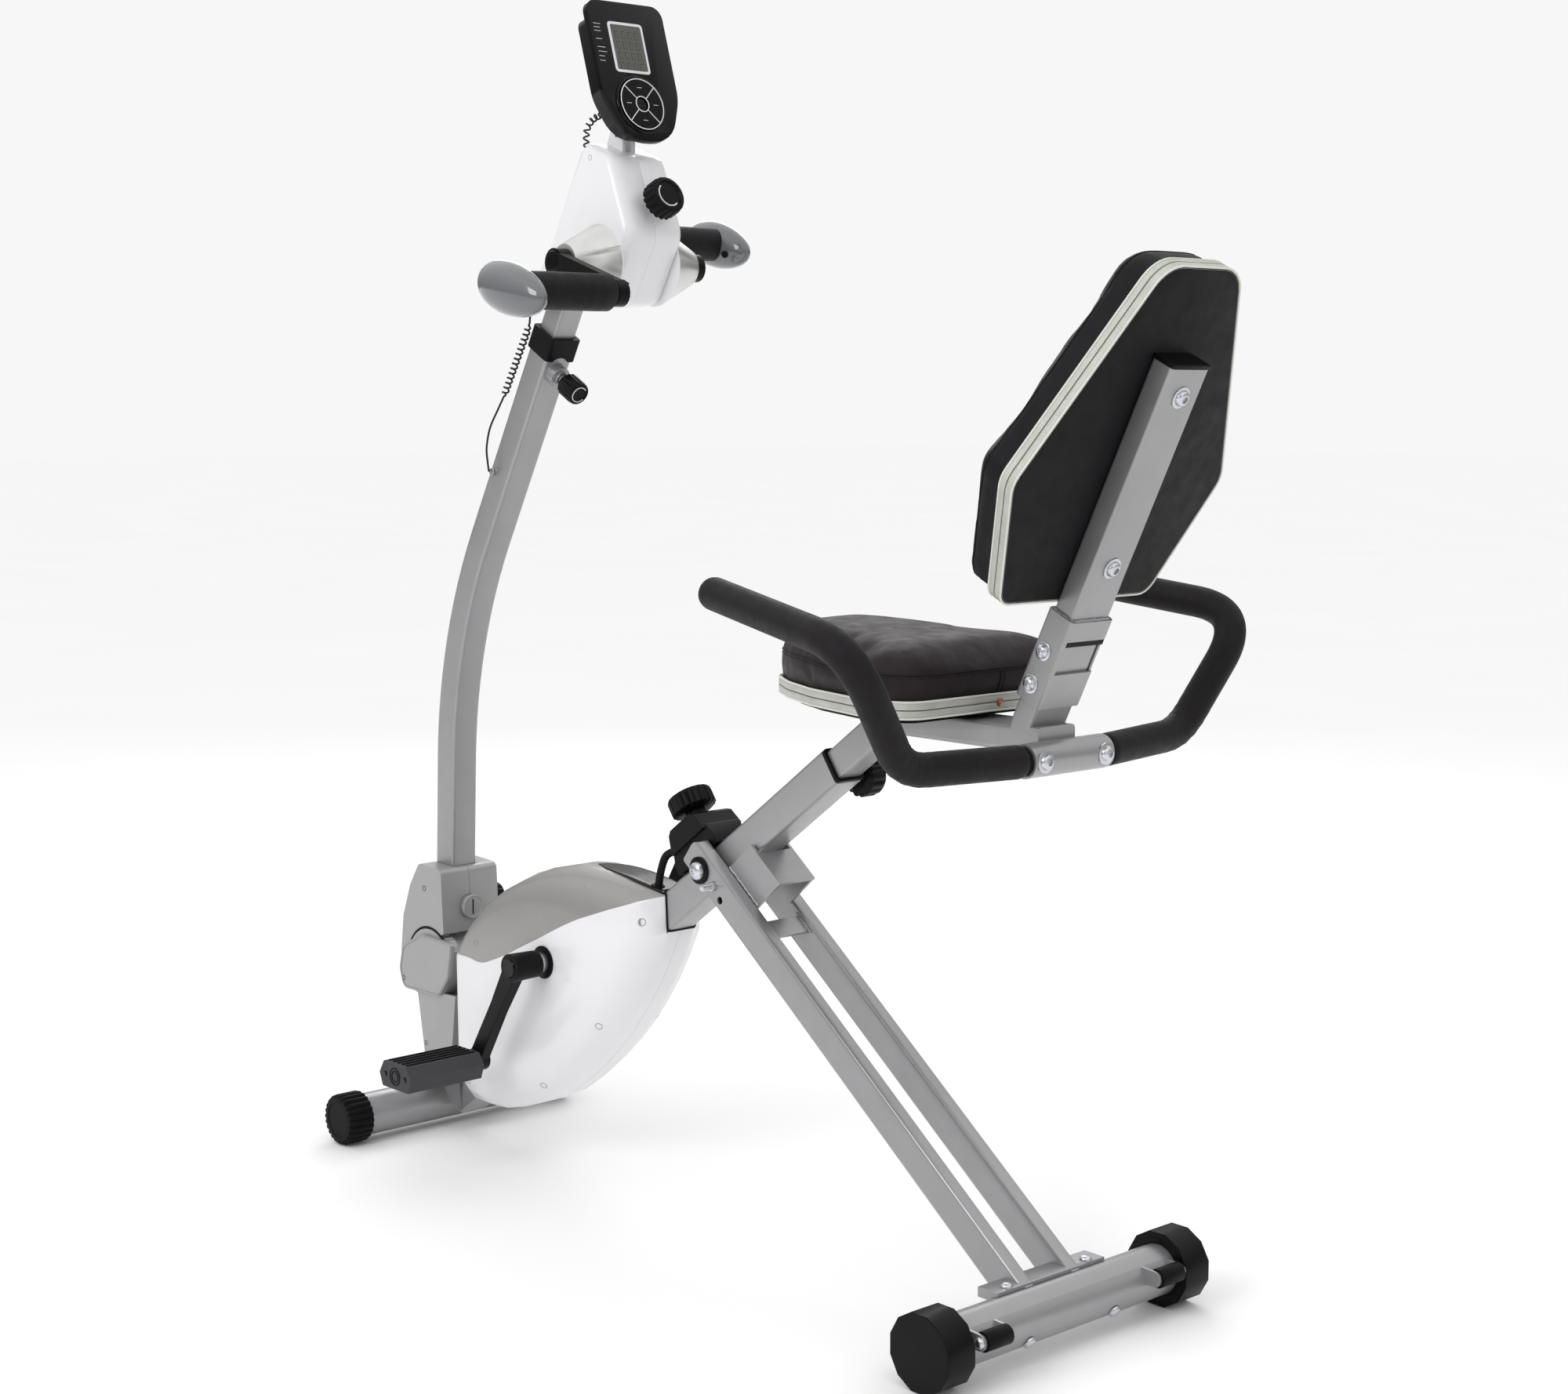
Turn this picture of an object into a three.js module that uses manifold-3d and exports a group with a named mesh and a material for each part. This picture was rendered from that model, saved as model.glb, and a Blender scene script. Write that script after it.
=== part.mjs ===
// Recumbent exercise bike with foot cranks, a tilting arm-crank mast and folding rear legs.
// Millimetres, +Z up. The rider faces -X, and the rider's left is -Y.
// The origin is on the floor, under the middle of the bike's box.
import * as THREE from 'three';
import { mergeVertices } from 'three/addons/utils/BufferGeometryUtils.js';
import Module from 'manifold-3d';

const wasm = await Module();
wasm.setup();

// ---- Driving dimensions ---------------------------------------------------------------------
const CENTRE = 7;                                 // puts the box's middle over the origin
const GAP = 0.3;                                  // between pieces that touch
const SLOPE = THREE.MathUtils.degToRad(36);       // main tube rises to the rear
const LEG_SLOPE = THREE.MathUtils.degToRad(37.5); // legs fall to the rear
const PIVOT = { x: -35, z: 387.5 };               // bolt where legs and main tube cross
const FRONT = { x: -555, z: 30, r: 25, half: 134 };
const FRONT_CAP = { r: 30, width: 34, out: 163 };
const REAR = { x: 430, z: 36.5, r: 25, half: 160 };
const ROLLER_Z = 46;                              // transport rollers behind the rear tube
const REAR_CAP = { across: 73, width: 35, out: 181 };
const TUBE = 38;                                  // main tube, square
const WALL = 2.5;
const TUBE_CORNER = 4;                            // outside corner radius of the steel tubes
const SEAT_PIN = { s: 199, t: -7 };               // on the right of the sleeve
const SLEEVE_END = 213;                           // along the main tube from the pivot
const LEG = { high: 35, inner: 24, outer: 40.5, low: -13, top: -26 };
const LOCK_PIN = { x: 26, z: 3 };                 // in the legs' frame, through the left leg
const CRANK_AXLE = { x: -286, z: 250 };
const CRANK = { dx: -74, dz: -119, inner: 68, outer: 105 };
const PEDAL = { inner: 110, outer: 208, long: 62, high: 29 };
const PULLEY_R = 80;
const SMALL_PULLEY_R = 14;
const BELT_Y = 32;
const FLYWHEEL = { x: -340, z: 165.6, r: 64 };
const HOUSING_HALF = 58;
const HINGE = { x: -538, z: 202 };                // mast tilt axis
const MAST = { width: 35, lean: THREE.MathUtils.degToRad(29.5), foot: THREE.MathUtils.degToRad(3) };
const MAST_BEND_R = 590;
const MAST_LOW = { x: -540, z: 318 };             // centre of the mast where it leaves its cover
const COVER_HALF = 40.5;
const EAR_OUT = 46;
const HEAD_HALF = 39;
const ARM_AXLE = { x: -200, z: 1017 };
const ARM = { dx: 111, dz: -35, inner: 85, outer: 108 };
const GRIP = { start: 112, foamEnd: 210, eggCentre: 228, r: 19 };
const CONSOLE = { x: -188, z: 1216, lean: THREE.MathUtils.degToRad(-17), wide: 102, tall: 154 };
const CONSOLE_HINGE = { x: -197.6, z: 1161.9 };
const BACK = { x: 408, z: 572, lean: THREE.MathUtils.degToRad(26.1) };  // rear face of the back post
const POST = { wide: 50, deep: 25 };
const CROSS = { x: 430, z: 554, r: 16, half: 53 };
const BAR_R = 15.5;                               // foam-covered handlebar

// ---- Colours --------------------------------------------------------------------------------
const finish = (color, roughness, metalness = 0) => ({ color, roughness, metalness });
const SILVER = finish(0xa5a5a8, 0.42, 0.35);
const ZINC = finish(0xc2c4c6, 0.3, 0.9);
const STEEL = finish(0x8b8d90, 0.4, 0.9);
const WHITE = finish(0xe4dfe2, 0.35);
const GREY = finish(0xa7a4a0, 0.45);
const BLACK = finish(0x1c1b1e, 0.5);
const RUBBER = finish(0x17171a, 0.8);
const VINYL = finish(0x2a282b, 0.55);
const FOAM = finish(0x2a282b, 0.7);

// ---- Helpers --------------------------------------------------------------------------------
const bike = new THREE.Group();
bike.position.x = CENTRE;

function named(name, shape, look, parent = bike) {
  const geometry = shape.isBufferGeometry ? shape : geometryOf(shape);
  const mesh = new THREE.Mesh(geometry, new THREE.MeshStandardMaterial(look));
  mesh.name = name;
  parent.add(mesh);
  return mesh;
}

function turned(x, z, angle, parent = bike) {     // a frame turned about Y
  const group = new THREE.Group();
  group.position.set(x, 0, z);
  group.rotation.y = angle;
  parent.add(group);
  return group;
}

// Turns a shape drawn in (across, up) so that its thickness runs along X.
const FACING_X = new THREE.Matrix4().makeBasis(
  new THREE.Vector3(0, 1, 0), new THREE.Vector3(0, 0, 1), new THREE.Vector3(1, 0, 0));

function solid(geometry) {
  const bare = geometry.clone();
  bare.deleteAttribute('normal');
  bare.deleteAttribute('uv');
  const merged = mergeVertices(bare, 1e-3);
  return new wasm.Manifold(new wasm.Mesh({
    numProp: 3,
    vertProperties: new Float32Array(merged.attributes.position.array),
    triVerts: new Uint32Array(merged.index.array),
  }));
}

function geometryOf(body) {
  const mesh = body.getMesh();
  const geometry = new THREE.BufferGeometry();
  geometry.setAttribute('position', new THREE.Float32BufferAttribute(mesh.vertProperties, 3));
  geometry.setIndex(Array.from(mesh.triVerts));
  geometry.computeVertexNormals();
  return geometry;
}

const join = (first, ...others) => others.reduce((sum, next) => sum.add(next), first);
const cut = (first, ...others) => others.reduce((rest, next) => rest.subtract(next), first);

function box(x0, x1, y0, y1, z0, z1) {
  const g = new THREE.BoxGeometry(x1 - x0, y1 - y0, z1 - z0);
  return solid(g.translate((x0 + x1) / 2, (y0 + y1) / 2, (z0 + z1) / 2));
}

// A box whose edges along one axis are rounded, as on drawn steel tube.
function bar(along, x, y, z, r) {                 // x, y and z as [low, high]
  const [a, b, c] = along === 'x' ? [y, z, x] : [x, y, z];
  const corners = [[a[0], b[0], r], [a[1], b[0], r], [a[1], b[1], r], [a[0], b[1], r]];
  const shape = new THREE.Shape(rounded(corners, 2).map(([p, q]) => new THREE.Vector2(p, q)));
  const g = new THREE.ExtrudeGeometry(shape, { depth: c[1] - c[0], bevelEnabled: false });
  g.translate(0, 0, c[0]);
  return solid(along === 'x' ? g.applyMatrix4(FACING_X) : g);
}

function rodY(r, y0, y1, x = 0, z = 0, sides = 24, r2 = r) {   // r at y1, r2 at y0
  const g = new THREE.CylinderGeometry(r, r2, y1 - y0, sides);
  return solid(g.translate(x, (y0 + y1) / 2, z));
}

function rodZ(r, z0, z1, x = 0, y = 0, sides = 24, r2 = r) {   // r at z1, r2 at z0
  const g = new THREE.CylinderGeometry(r, r2, z1 - z0, sides);
  return solid(g.rotateX(Math.PI / 2).translate(x, y, (z0 + z1) / 2));
}

function rodX(r, x0, x1, y = 0, z = 0, sides = 24, r2 = r) {   // r at x1, r2 at x0
  const g = new THREE.CylinderGeometry(r, r2, x1 - x0, sides);
  return solid(g.rotateZ(-Math.PI / 2).translate((x0 + x1) / 2, y, z));
}

function prism(outline, y0, y1) {                 // an outline in X and Z, thick along Y
  const shape = new THREE.Shape(outline.map(([x, z]) => new THREE.Vector2(x, z)));
  const g = new THREE.ExtrudeGeometry(shape, { depth: y1 - y0, bevelEnabled: false });
  return solid(g.rotateX(Math.PI / 2).translate(0, y1, 0));
}

function rounded(corners, steps = 4) {            // corners as [x, z, radius]
  const points = [];
  corners.forEach(([x, z, r = 0], i) => {
    const before = corners[(i + corners.length - 1) % corners.length];
    const after = corners[(i + 1) % corners.length];
    if (r === 0) {
      points.push([x, z]);
      return;
    }
    const a = new THREE.Vector2(before[0] - x, before[1] - z).normalize();
    const b = new THREE.Vector2(after[0] - x, after[1] - z).normalize();
    const half = Math.acos(a.dot(b)) / 2;
    const reach = r / Math.tan(half);
    const centre = a.clone().add(b).normalize().multiplyScalar(r / Math.sin(half));
    const from = a.clone().multiplyScalar(reach).sub(centre).angle();
    let sweep = b.clone().multiplyScalar(reach).sub(centre).angle() - from;
    if (sweep > Math.PI) sweep -= 2 * Math.PI;
    if (sweep < -Math.PI) sweep += 2 * Math.PI;
    for (let k = 0; k <= steps; k += 1) {
      const angle = from + (sweep * k) / steps;
      points.push([x + centre.x + r * Math.cos(angle), z + centre.y + r * Math.sin(angle)]);
    }
  });
  return points;
}

function spline(points, count) {                  // a smooth run of points, ends included
  const curve = new THREE.SplineCurve(points.map(([x, z]) => new THREE.Vector2(x, z)));
  return curve.getSpacedPoints(count).map((p) => [p.x, p.y]);
}

const seenAlongY = ([x, , z]) => new THREE.Vector2(x, z);
const seenAlongZ = ([x, y]) => new THREE.Vector2(y, x);

function loft(rings, flatten = seenAlongY) {      // rings of equal length, each [[x, y, z], ...]
  const n = rings[0].length;
  const anticlockwise = THREE.ShapeUtils.area(rings[0].map(flatten)) > 0;
  if (anticlockwise) rings.forEach((ring) => ring.reverse());
  const positions = rings.flat(2);
  const index = [];
  for (let k = 0; k + 1 < rings.length; k += 1) {
    for (let i = 0; i < n; i += 1) {
      const a = k * n + i;
      const b = k * n + ((i + 1) % n);
      index.push(a, b, a + n, b, b + n, a + n);
    }
  }
  const ends = [[0, rings[0], true], [(rings.length - 1) * n, rings[rings.length - 1], false]];
  for (const [start, ring, near] of ends) {
    for (const [a, b, c] of THREE.ShapeUtils.triangulateShape(ring.map(flatten), [])) {
      if (near) index.push(start + a, start + b, start + c);
      else index.push(start + a, start + c, start + b);
    }
  }
  const g = new THREE.BufferGeometry();
  g.setAttribute('position', new THREE.Float32BufferAttribute(positions, 3));
  g.setIndex(index);
  return solid(g);
}

function shellBody(outline, centre, rings) {      // rings of [y, scale] about the centre
  return loft(rings.map(([y, scale]) => outline.map(([x, z]) => [
    centre.x + (x - centre.x) * scale, y, centre.z + (z - centre.z) * scale,
  ])));
}

function sweep(section, curve, steps) {           // a section swept along a curve
  const shape = new THREE.Shape(section.map(([a, b]) => new THREE.Vector2(a, b)));
  const options = { steps, extrudePath: curve, bevelEnabled: false };
  return solid(new THREE.ExtrudeGeometry(shape, options));
}

function ring(r, sides) {
  return Array.from({ length: sides }, (_, i) => {
    const angle = (2 * Math.PI * (i + 0.5)) / sides;
    return [r * Math.cos(angle), r * Math.sin(angle)];
  });
}

function bent(points, radius) {                   // straight runs joined by round bends
  const path = new THREE.CurvePath();
  const at = points.map((p) => new THREE.Vector3(...p));
  let from = at[0];
  for (let i = 1; i + 1 < at.length; i += 1) {
    const back = at[i - 1].clone().sub(at[i]).normalize();
    const on = at[i + 1].clone().sub(at[i]).normalize();
    const reach = radius / Math.tan(back.angleTo(on) / 2);
    const start = at[i].clone().addScaledVector(back, reach);
    const end = at[i].clone().addScaledVector(on, reach);
    path.add(new THREE.LineCurve3(from, start));
    path.add(new THREE.QuadraticBezierCurve3(start, at[i], end));
    from = end;
  }
  path.add(new THREE.LineCurve3(from, at[at.length - 1]));
  return path;
}

function ribbedKnob(r, depth, ribs, direction = 1) {   // a hand knob along Z from the origin
  const outline = Array.from({ length: ribs * 2 }, (_, i) => {
    const angle = (Math.PI * i) / ribs;
    const reach = i % 2 ? r * 0.9 : r;
    return new THREE.Vector2(reach * Math.cos(angle), reach * Math.sin(angle));
  });
  const options = { depth, bevelEnabled: false };
  const g = new THREE.ExtrudeGeometry(new THREE.Shape(outline), options);
  if (direction < 0) g.translate(0, 0, -depth);
  return solid(g);
}

// The same solid in the frame of a group that stands at (x, z), turned by angle.
function moved(body, x, z, angle) {
  const m = new THREE.Matrix4().makeRotationY(angle).setPosition(x, 0, z);
  return body.transform(m.toArray());
}

function seenFrom(body, x, z, angle) {
  const m = new THREE.Matrix4().makeRotationY(angle).setPosition(x, 0, z).invert();
  return body.transform(m.toArray());
}

// ---- Main frame -----------------------------------------------------------------------------
const alongTube = turned(PIVOT.x, PIVOT.z, -SLOPE);
const toTube = (body) => seenFrom(body, PIVOT.x, PIVOT.z, -SLOPE);
const toLegs = (body) => seenFrom(body, PIVOT.x, PIVOT.z, LEG_SLOPE);

function mainTube() {
  const h = TUBE / 2;
  const inner = h - WALL;
  const low = -600;
  const tube = cut(bar('x', [low, SLEEVE_END], [-h, h], [-h, h], TUBE_CORNER),
    box(low - 1, SLEEVE_END + 1, -inner, inner, -inner, inner));
  const shell = toTube(rodY(19, -25, 25, CRANK_AXLE.x, CRANK_AXLE.z));
  const gusset = box(-345, -300, -4, 4, 10, 40);
  const bores = [
    rodY(6.4, -25, 25),
    rodY(5.8, 10, 25, SEAT_PIN.s, SEAT_PIN.t, 12),
    toTube(rodY(11, -40, 40, CRANK_AXLE.x, CRANK_AXLE.z)),
    toTube(rodY(8.4, -30, 30, FLYWHEEL.x, FLYWHEEL.z)),
    toTube(rodY(FRONT.r + GAP, -60, 60, FRONT.x, FRONT.z)),
  ];
  return cut(join(tube, cut(shell, box(-400, 0, -31, 31, -inner, inner)), gusset), ...bores);
}

function sleeveBushing() {
  const h = TUBE / 2;
  const bore = 15.8;
  return cut(bar('x', [SLEEVE_END + GAP, SLEEVE_END + 5], [-h, h], [-h, h], TUBE_CORNER),
    box(SLEEVE_END - 1, SLEEVE_END + 6, -bore, bore, -bore, bore));
}

function frontStabilizer() {
  const tube = cut(rodY(FRONT.r, -FRONT.half, FRONT.half, FRONT.x, FRONT.z),
    rodY(FRONT.r - WALL, -FRONT.half - 1, FRONT.half + 1, FRONT.x, FRONT.z));
  const plate = rounded([[-534, 30], [-506, 30], [-516, 196, 8], [-538, 222, 14], [-560, 196, 8]]);
  const ears = [-1, 1].map((side) => {
    const span = [side * 19.4, side * 22.4].sort((a, b) => a - b);
    return prism(plate, ...span);
  });
  const hinge = rodY(6, -22.2, 22.2, HINGE.x, HINGE.z, 16);
  return join(tube, ...ears, hinge);
}

function frontCap(side) {
  const ribs = 20;
  const teeth = Array.from({ length: ribs * 2 }, (_, i) => {
    const angle = (Math.PI * (i + 0.5)) / ribs;
    const r = i % 2 ? FRONT_CAP.r - 1.6 : FRONT_CAP.r;
    return [FRONT.x + r * Math.sin(angle), FRONT.z - r * Math.cos(angle)];
  });
  const inner = FRONT_CAP.out - FRONT_CAP.width;
  const span = side < 0 ? [-FRONT_CAP.out, -inner] : [inner, FRONT_CAP.out];
  const socketSpan = side < 0 ? [-FRONT.half - GAP, 0] : [0, FRONT.half + GAP];
  return cut(prism(teeth, ...span), rodY(FRONT.r + GAP, ...socketSpan, FRONT.x, FRONT.z));
}

// ---- Housing: a lens in two shells, thickest at the crank axle ------------------------------
const HOUSING_OUTLINE = [
  ...spline([[-114, 306], [-150, 240], [-215, 160], [-305, 88], [-400, 50], [-452, 48]], 12),
  [-474, 66],
  ...spline([[-476, 232], [-441, 279], [-370, 328], [-280, 356], [-190, 357], [-116, 347]], 12),
];
const HOUSING_CENTRE = { x: -400, z: 200 };
const HOUSING_RINGS = [[0.15, 1], [18, 1], [40, 0.94], [52, 0.85], [HOUSING_HALF, 0.72]];

function housing(side) {
  const outer = shellBody(HOUSING_OUTLINE, HOUSING_CENTRE, HOUSING_RINGS);
  const thin = 3;
  const inside = HOUSING_RINGS.map(([y, scale], i) => [i ? y - thin : -1, scale - 0.018]);
  const inner = shellBody(HOUSING_OUTLINE, HOUSING_CENTRE, inside);
  const clear = TUBE / 2 + 0.6;
  const passage = moved(box(-620, 0, -clear, clear, -clear, clear), PIVOT.x, PIVOT.z, -SLOPE);
  const axle = rodY(12, -80, 80, CRANK_AXLE.x, CRANK_AXLE.z);
  const shell = cut(outer, inner, passage, axle);
  return side > 0 ? shell : shell.mirror([0, 1, 0]);
}

// ---- Covers over the mast hinge -------------------------------------------------------------
const EAR_OUTLINE = rounded([[-595, 190, 14], [-588, 218, 16], [-548, 238, 30], [-483, 236, 6],
  [-491, 193, 20], [-512, 167, 14], [-588, 166, 12]]);
const BASE_OUTLINE = [[-588, 169], [-563, 163], [-545, 62], [-498, 62], [-484, 172]];

function baseCover(side) {
  const ear = prism(EAR_OUTLINE, 41, EAR_OUT);
  const body = prism(BASE_OUTLINE, 0.15, 41.5);
  const room = prism([[-580, 176], [-559, 158], [-540, 40], [-502, 40], [-489, 176]], -1, 38);
  const drum = cut(rodY(43, 23, 41.5, HINGE.x, HINGE.z, 32), rodY(30, 22, 36, HINGE.x, HINGE.z, 24));
  const below = rodY(FRONT.r + 0.6, -60, 60, FRONT.x, FRONT.z);
  const roomForShell = box(-480.6, -400, -60, 60, 0, 400);
  const clear = TUBE / 2 + 0.6;
  const passage = moved(box(-620, -400, -clear, clear, -clear, clear), PIVOT.x, PIVOT.z, -SLOPE);
  const shell = cut(join(cut(body, room), drum, ear), below, roomForShell, passage);
  return side > 0 ? shell : shell.mirror([0, 1, 0]);
}

function coverOutline(inset) {
  const turn = (deg) => [HINGE.x + 46 * Math.cos(rad(deg)), HINGE.z + 46 * Math.sin(rad(deg))];
  const edge = [170, 150, 130, 110, 90, 70, 58].map(turn);
  const top = rounded([[-508 - inset, 243], [-512 - inset, 320 - inset, 8],
    [-558 + inset, 322 - inset, 8], [-577 + inset, 294], [-593 + inset, 254], [-599 + inset, 208]]);
  return [...edge, ...top];
}

function mastCover(side) {
  const outer = prism(coverOutline(0), 0.15, COVER_HALF);
  const boss = rodX(13, -512, -505, 0, 272, 20, 13);
  const inside = prism([[-512, 230], [-515, 312], [-552, 312], [-572, 290], [-588, 250], [-594, 200],
    [-560, 190]], -1, COVER_HALF - 3);
  const mastRoom = box(-538.5 - 18.5, -538.5 + 18.5, -1, MAST.width / 2 + 0.5, 300, 330);
  const half = box(-700, -400, 0.15, 60, 100, 400);
  const shell = cut(join(outer, boss.intersect(half)), inside, mastRoom);
  return side > 0 ? shell : shell.mirror([0, 1, 0]);
}

function rad(deg) {
  return THREE.MathUtils.degToRad(deg);
}

// ---- Foot crank and its drive ---------------------------------------------------------------
function crankAxle() {
  const axle = rodY(9.5, -88, 88, 0, 0, 20);
  const pulley = rodY(PULLEY_R - 1.5, BELT_Y - 5, BELT_Y + 5, 0, 0, 40);
  const windows = [0, 72, 144, 216, 288].map((deg) => {
    const at = [46 * Math.cos(rad(deg)), 46 * Math.sin(rad(deg))];
    return rodY(15, BELT_Y - 6, BELT_Y + 6, ...at, 12);
  });
  return join(axle, cut(pulley, ...windows));
}

function crank(side) {
  const hub = rodY(16, CRANK.inner, CRANK.outer, 0, 0, 20, 15);
  const end = rodY(13, 88, CRANK.outer, CRANK.dx, CRANK.dz, 16);
  const length = Math.hypot(CRANK.dx, CRANK.dz);
  const lean = Math.atan2(-CRANK.dx, -CRANK.dz);
  const web = prism([[-12, 0], [12, 0], [9, -60], [10, -length], [-10, -length], [-9, -60]],
    90, CRANK.outer - 2);
  const arm = web.transform(new THREE.Matrix4().makeRotationY(lean).toArray());
  const bore = rodY(9.8, 60, 88.3, 0, 0, 20);
  const pin = rodY(5, CRANK.outer - 2, PEDAL.outer - 12, CRANK.dx, CRANK.dz, 12);
  const shape = cut(join(hub, end, arm, pin), bore);
  return side > 0 ? shape.rotate([0, 180, 0]) : shape.mirror([0, 1, 0]);
}

function pedal(side) {
  const l = PEDAL.long / 2;
  const h = PEDAL.high / 2;
  const hexagon = [[-l, 0], [-l + 9, h], [l - 9, h], [l, 2], [l - 6, -h], [-l + 6, -h]];
  const span = side < 0 ? [-PEDAL.outer, -PEDAL.inner] : [PEDAL.inner, PEDAL.outer];
  const hole = side < 0 ? [-PEDAL.outer + 11, 0] : [0, PEDAL.outer - 11];
  return cut(prism(hexagon, ...span), rodY(5.3, ...hole, 0, 0, 12));
}

function flywheel() {
  const disc = rodY(FLYWHEEL.r, -42, -28, 0, 0, 40);
  const axle = rodY(8, -48, 44, 0, 0, 20);
  const pulley = rodY(SMALL_PULLEY_R - 1.5, BELT_Y - 6, BELT_Y + 6, 0, 0, 20);
  return join(disc, axle, pulley);
}

function driveBelt() {
  const outer = 2.2;
  const dx = FLYWHEEL.x - CRANK_AXLE.x;
  const dz = FLYWHEEL.z - CRANK_AXLE.z;
  const towards = Math.atan2(dz, dx);
  const spread = Math.acos((PULLEY_R - SMALL_PULLEY_R) / Math.hypot(dx, dz));
  const loop = (extra) => {
    const points = [];
    for (let k = 0; k <= 20; k += 1) {
      const a = towards + spread + ((2 * Math.PI - 2 * spread) * k) / 20;
      points.push([(PULLEY_R + extra) * Math.cos(a), (PULLEY_R + extra) * Math.sin(a)]);
    }
    for (let k = 0; k <= 6; k += 1) {
      const a = towards - spread + (2 * spread * k) / 6;
      const r = SMALL_PULLEY_R + extra;
      points.push([dx + r * Math.cos(a), dz + r * Math.sin(a)]);
    }
    return points;
  };
  return cut(prism(loop(outer), BELT_Y - 4, BELT_Y + 4), prism(loop(0), BELT_Y - 5, BELT_Y + 5));
}

// ---- Tension dial on the main tube ----------------------------------------------------------
function tensionBox() {
  const lower = prism([[-54, 19.4], [23, 19.4], [23, 30], [17, 44], [-48, 44], [-54, 30]], -23, 23);
  const upper = prism([[-48, 40], [17, 40], [10, 60], [4, 64], [-34, 64], [-40, 60]], -27, 27);
  return join(lower, upper);
}

function dial(r, depth, ribs) {
  return join(ribbedKnob(r, depth, ribs), rodZ(r * 0.45, -6, 1, 0, 0, 16));
}

// ---- Pivot bolt and legs --------------------------------------------------------------------
function pivotBolt() {
  const shank = rodY(6, -LEG.outer - 2, LEG.outer + 2, 0, 0, 16);
  const heads = [-1, 1].map((side) => {
    const washer = [side * (LEG.outer + GAP), side * (LEG.outer + 2.5)].sort((a, b) => a - b);
    const head = [side * (LEG.outer + 2), side * (LEG.outer + 9)].sort((a, b) => a - b);
    return join(rodY(13, ...washer, 0, 0, 20), rodY(10, ...head, 0, 0, 16));
  });
  return join(shank, ...heads);
}

function legFrame() {
  const stab = toLegs(rodY(REAR.r + GAP, -90, 90, REAR.x, REAR.z));
  const legs = [-1, 1].map((side) => {
    const span = (a, b) => [side * a, side * b].sort((p, q) => p - q);
    const outline = rounded([[LEG.top, LEG.low, 5], [585, LEG.low], [585, LEG.low + LEG.high],
      [LEG.top, LEG.low + LEG.high, 10]], 3);
    const edges = bar('x', [LEG.top, 585], span(LEG.inner, LEG.outer),
      [LEG.low, LEG.low + LEG.high], TUBE_CORNER);
    const outer = prism(outline, ...span(LEG.inner, LEG.outer)).intersect(edges);
    const room = box(LEG.top + 4, 590, ...span(LEG.inner + 2.5, LEG.outer - 2.5),
      LEG.low + 2.5, LEG.low + LEG.high - 2.5);
    const through = span(LEG.inner - 1, LEG.outer + 1);
    return cut(outer, room, rodY(6.3, -60, 60), rodY(5, ...through, LOCK_PIN.x, LOCK_PIN.z, 12),
      rodY(4.2, ...through, LOCK_PIN.x + 16, LOCK_PIN.z - 5, 12));
  });
  const flange = [[19, 17], [76, 17], [85.5, 64.5], [29, 64.5]];
  const sides = [-1, 1].map((side) => {
    const span = [side * 21.2, side * 24.5].sort((p, q) => p - q);
    return prism(flange, ...span);
  });
  const web = box(42, 85.5, -24.5, 24.5, 61.5, 64.5);
  const brace = box(92, 114, -25, 25, 12, 15);
  const plate = toLegs(box(REAR.x - 30, REAR.x - 5, -74, 74, REAR.z + 18.5, REAR.z + 28));
  const saddle = cut(plate, stab);
  return join(cut(join(...legs), stab), ...sides, web, brace, saddle);
}

function lockPin() {
  const shank = rodY(4.6, -45, -23, LOCK_PIN.x, LOCK_PIN.z, 12);
  const tip = rodY(3.4, -57, -44, LOCK_PIN.x, LOCK_PIN.z, 12);
  return join(shank, tip);
}

function rearStabilizer() {
  const tube = cut(rodY(REAR.r, -REAR.half, REAR.half, REAR.x, REAR.z),
    rodY(REAR.r - WALL, -REAR.half - 1, REAR.half + 1, REAR.x, REAR.z));
  const ears = [-139, -104, 101, 136].map((y) => {
    const plate = rounded([[REAR.x + 22.5, 38], [REAR.x + 41, 38, 7], [REAR.x + 41, 53, 7],
      [REAR.x + 16.5, 54]], 3);
    return prism(plate, y, y + 3);
  });
  const axles = [-1, 1].map((side) => {
    const span = [side * 102, side * 138].sort((a, b) => a - b);
    return rodY(2.5, ...span, REAR.x + 35, ROLLER_Z, 12);
  });
  return join(tube, ...ears, ...axles);
}

function rearCap(side) {
  const r = REAR_CAP.across / 2 / Math.cos(Math.PI / 12);
  const outline = ring(r, 12).map(([x, z]) => [REAR.x + x, REAR_CAP.across / 2 + z]);
  const inner = REAR_CAP.out - REAR_CAP.width;
  const span = side < 0 ? [-REAR_CAP.out, -inner] : [inner, REAR_CAP.out];
  const socket = side < 0 ? [-REAR.half - GAP, 0] : [0, REAR.half + GAP];
  return cut(prism(outline, ...span), rodY(REAR.r + GAP, ...socket, REAR.x, REAR.z));
}

// ---- Seat frame -----------------------------------------------------------------------------
const toSeatPost = (body) => moved(body, PIVOT.x, PIVOT.z, -SLOPE);
const toWorldBack = (body) => moved(body, BACK.x, BACK.z, BACK.lean);

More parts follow.
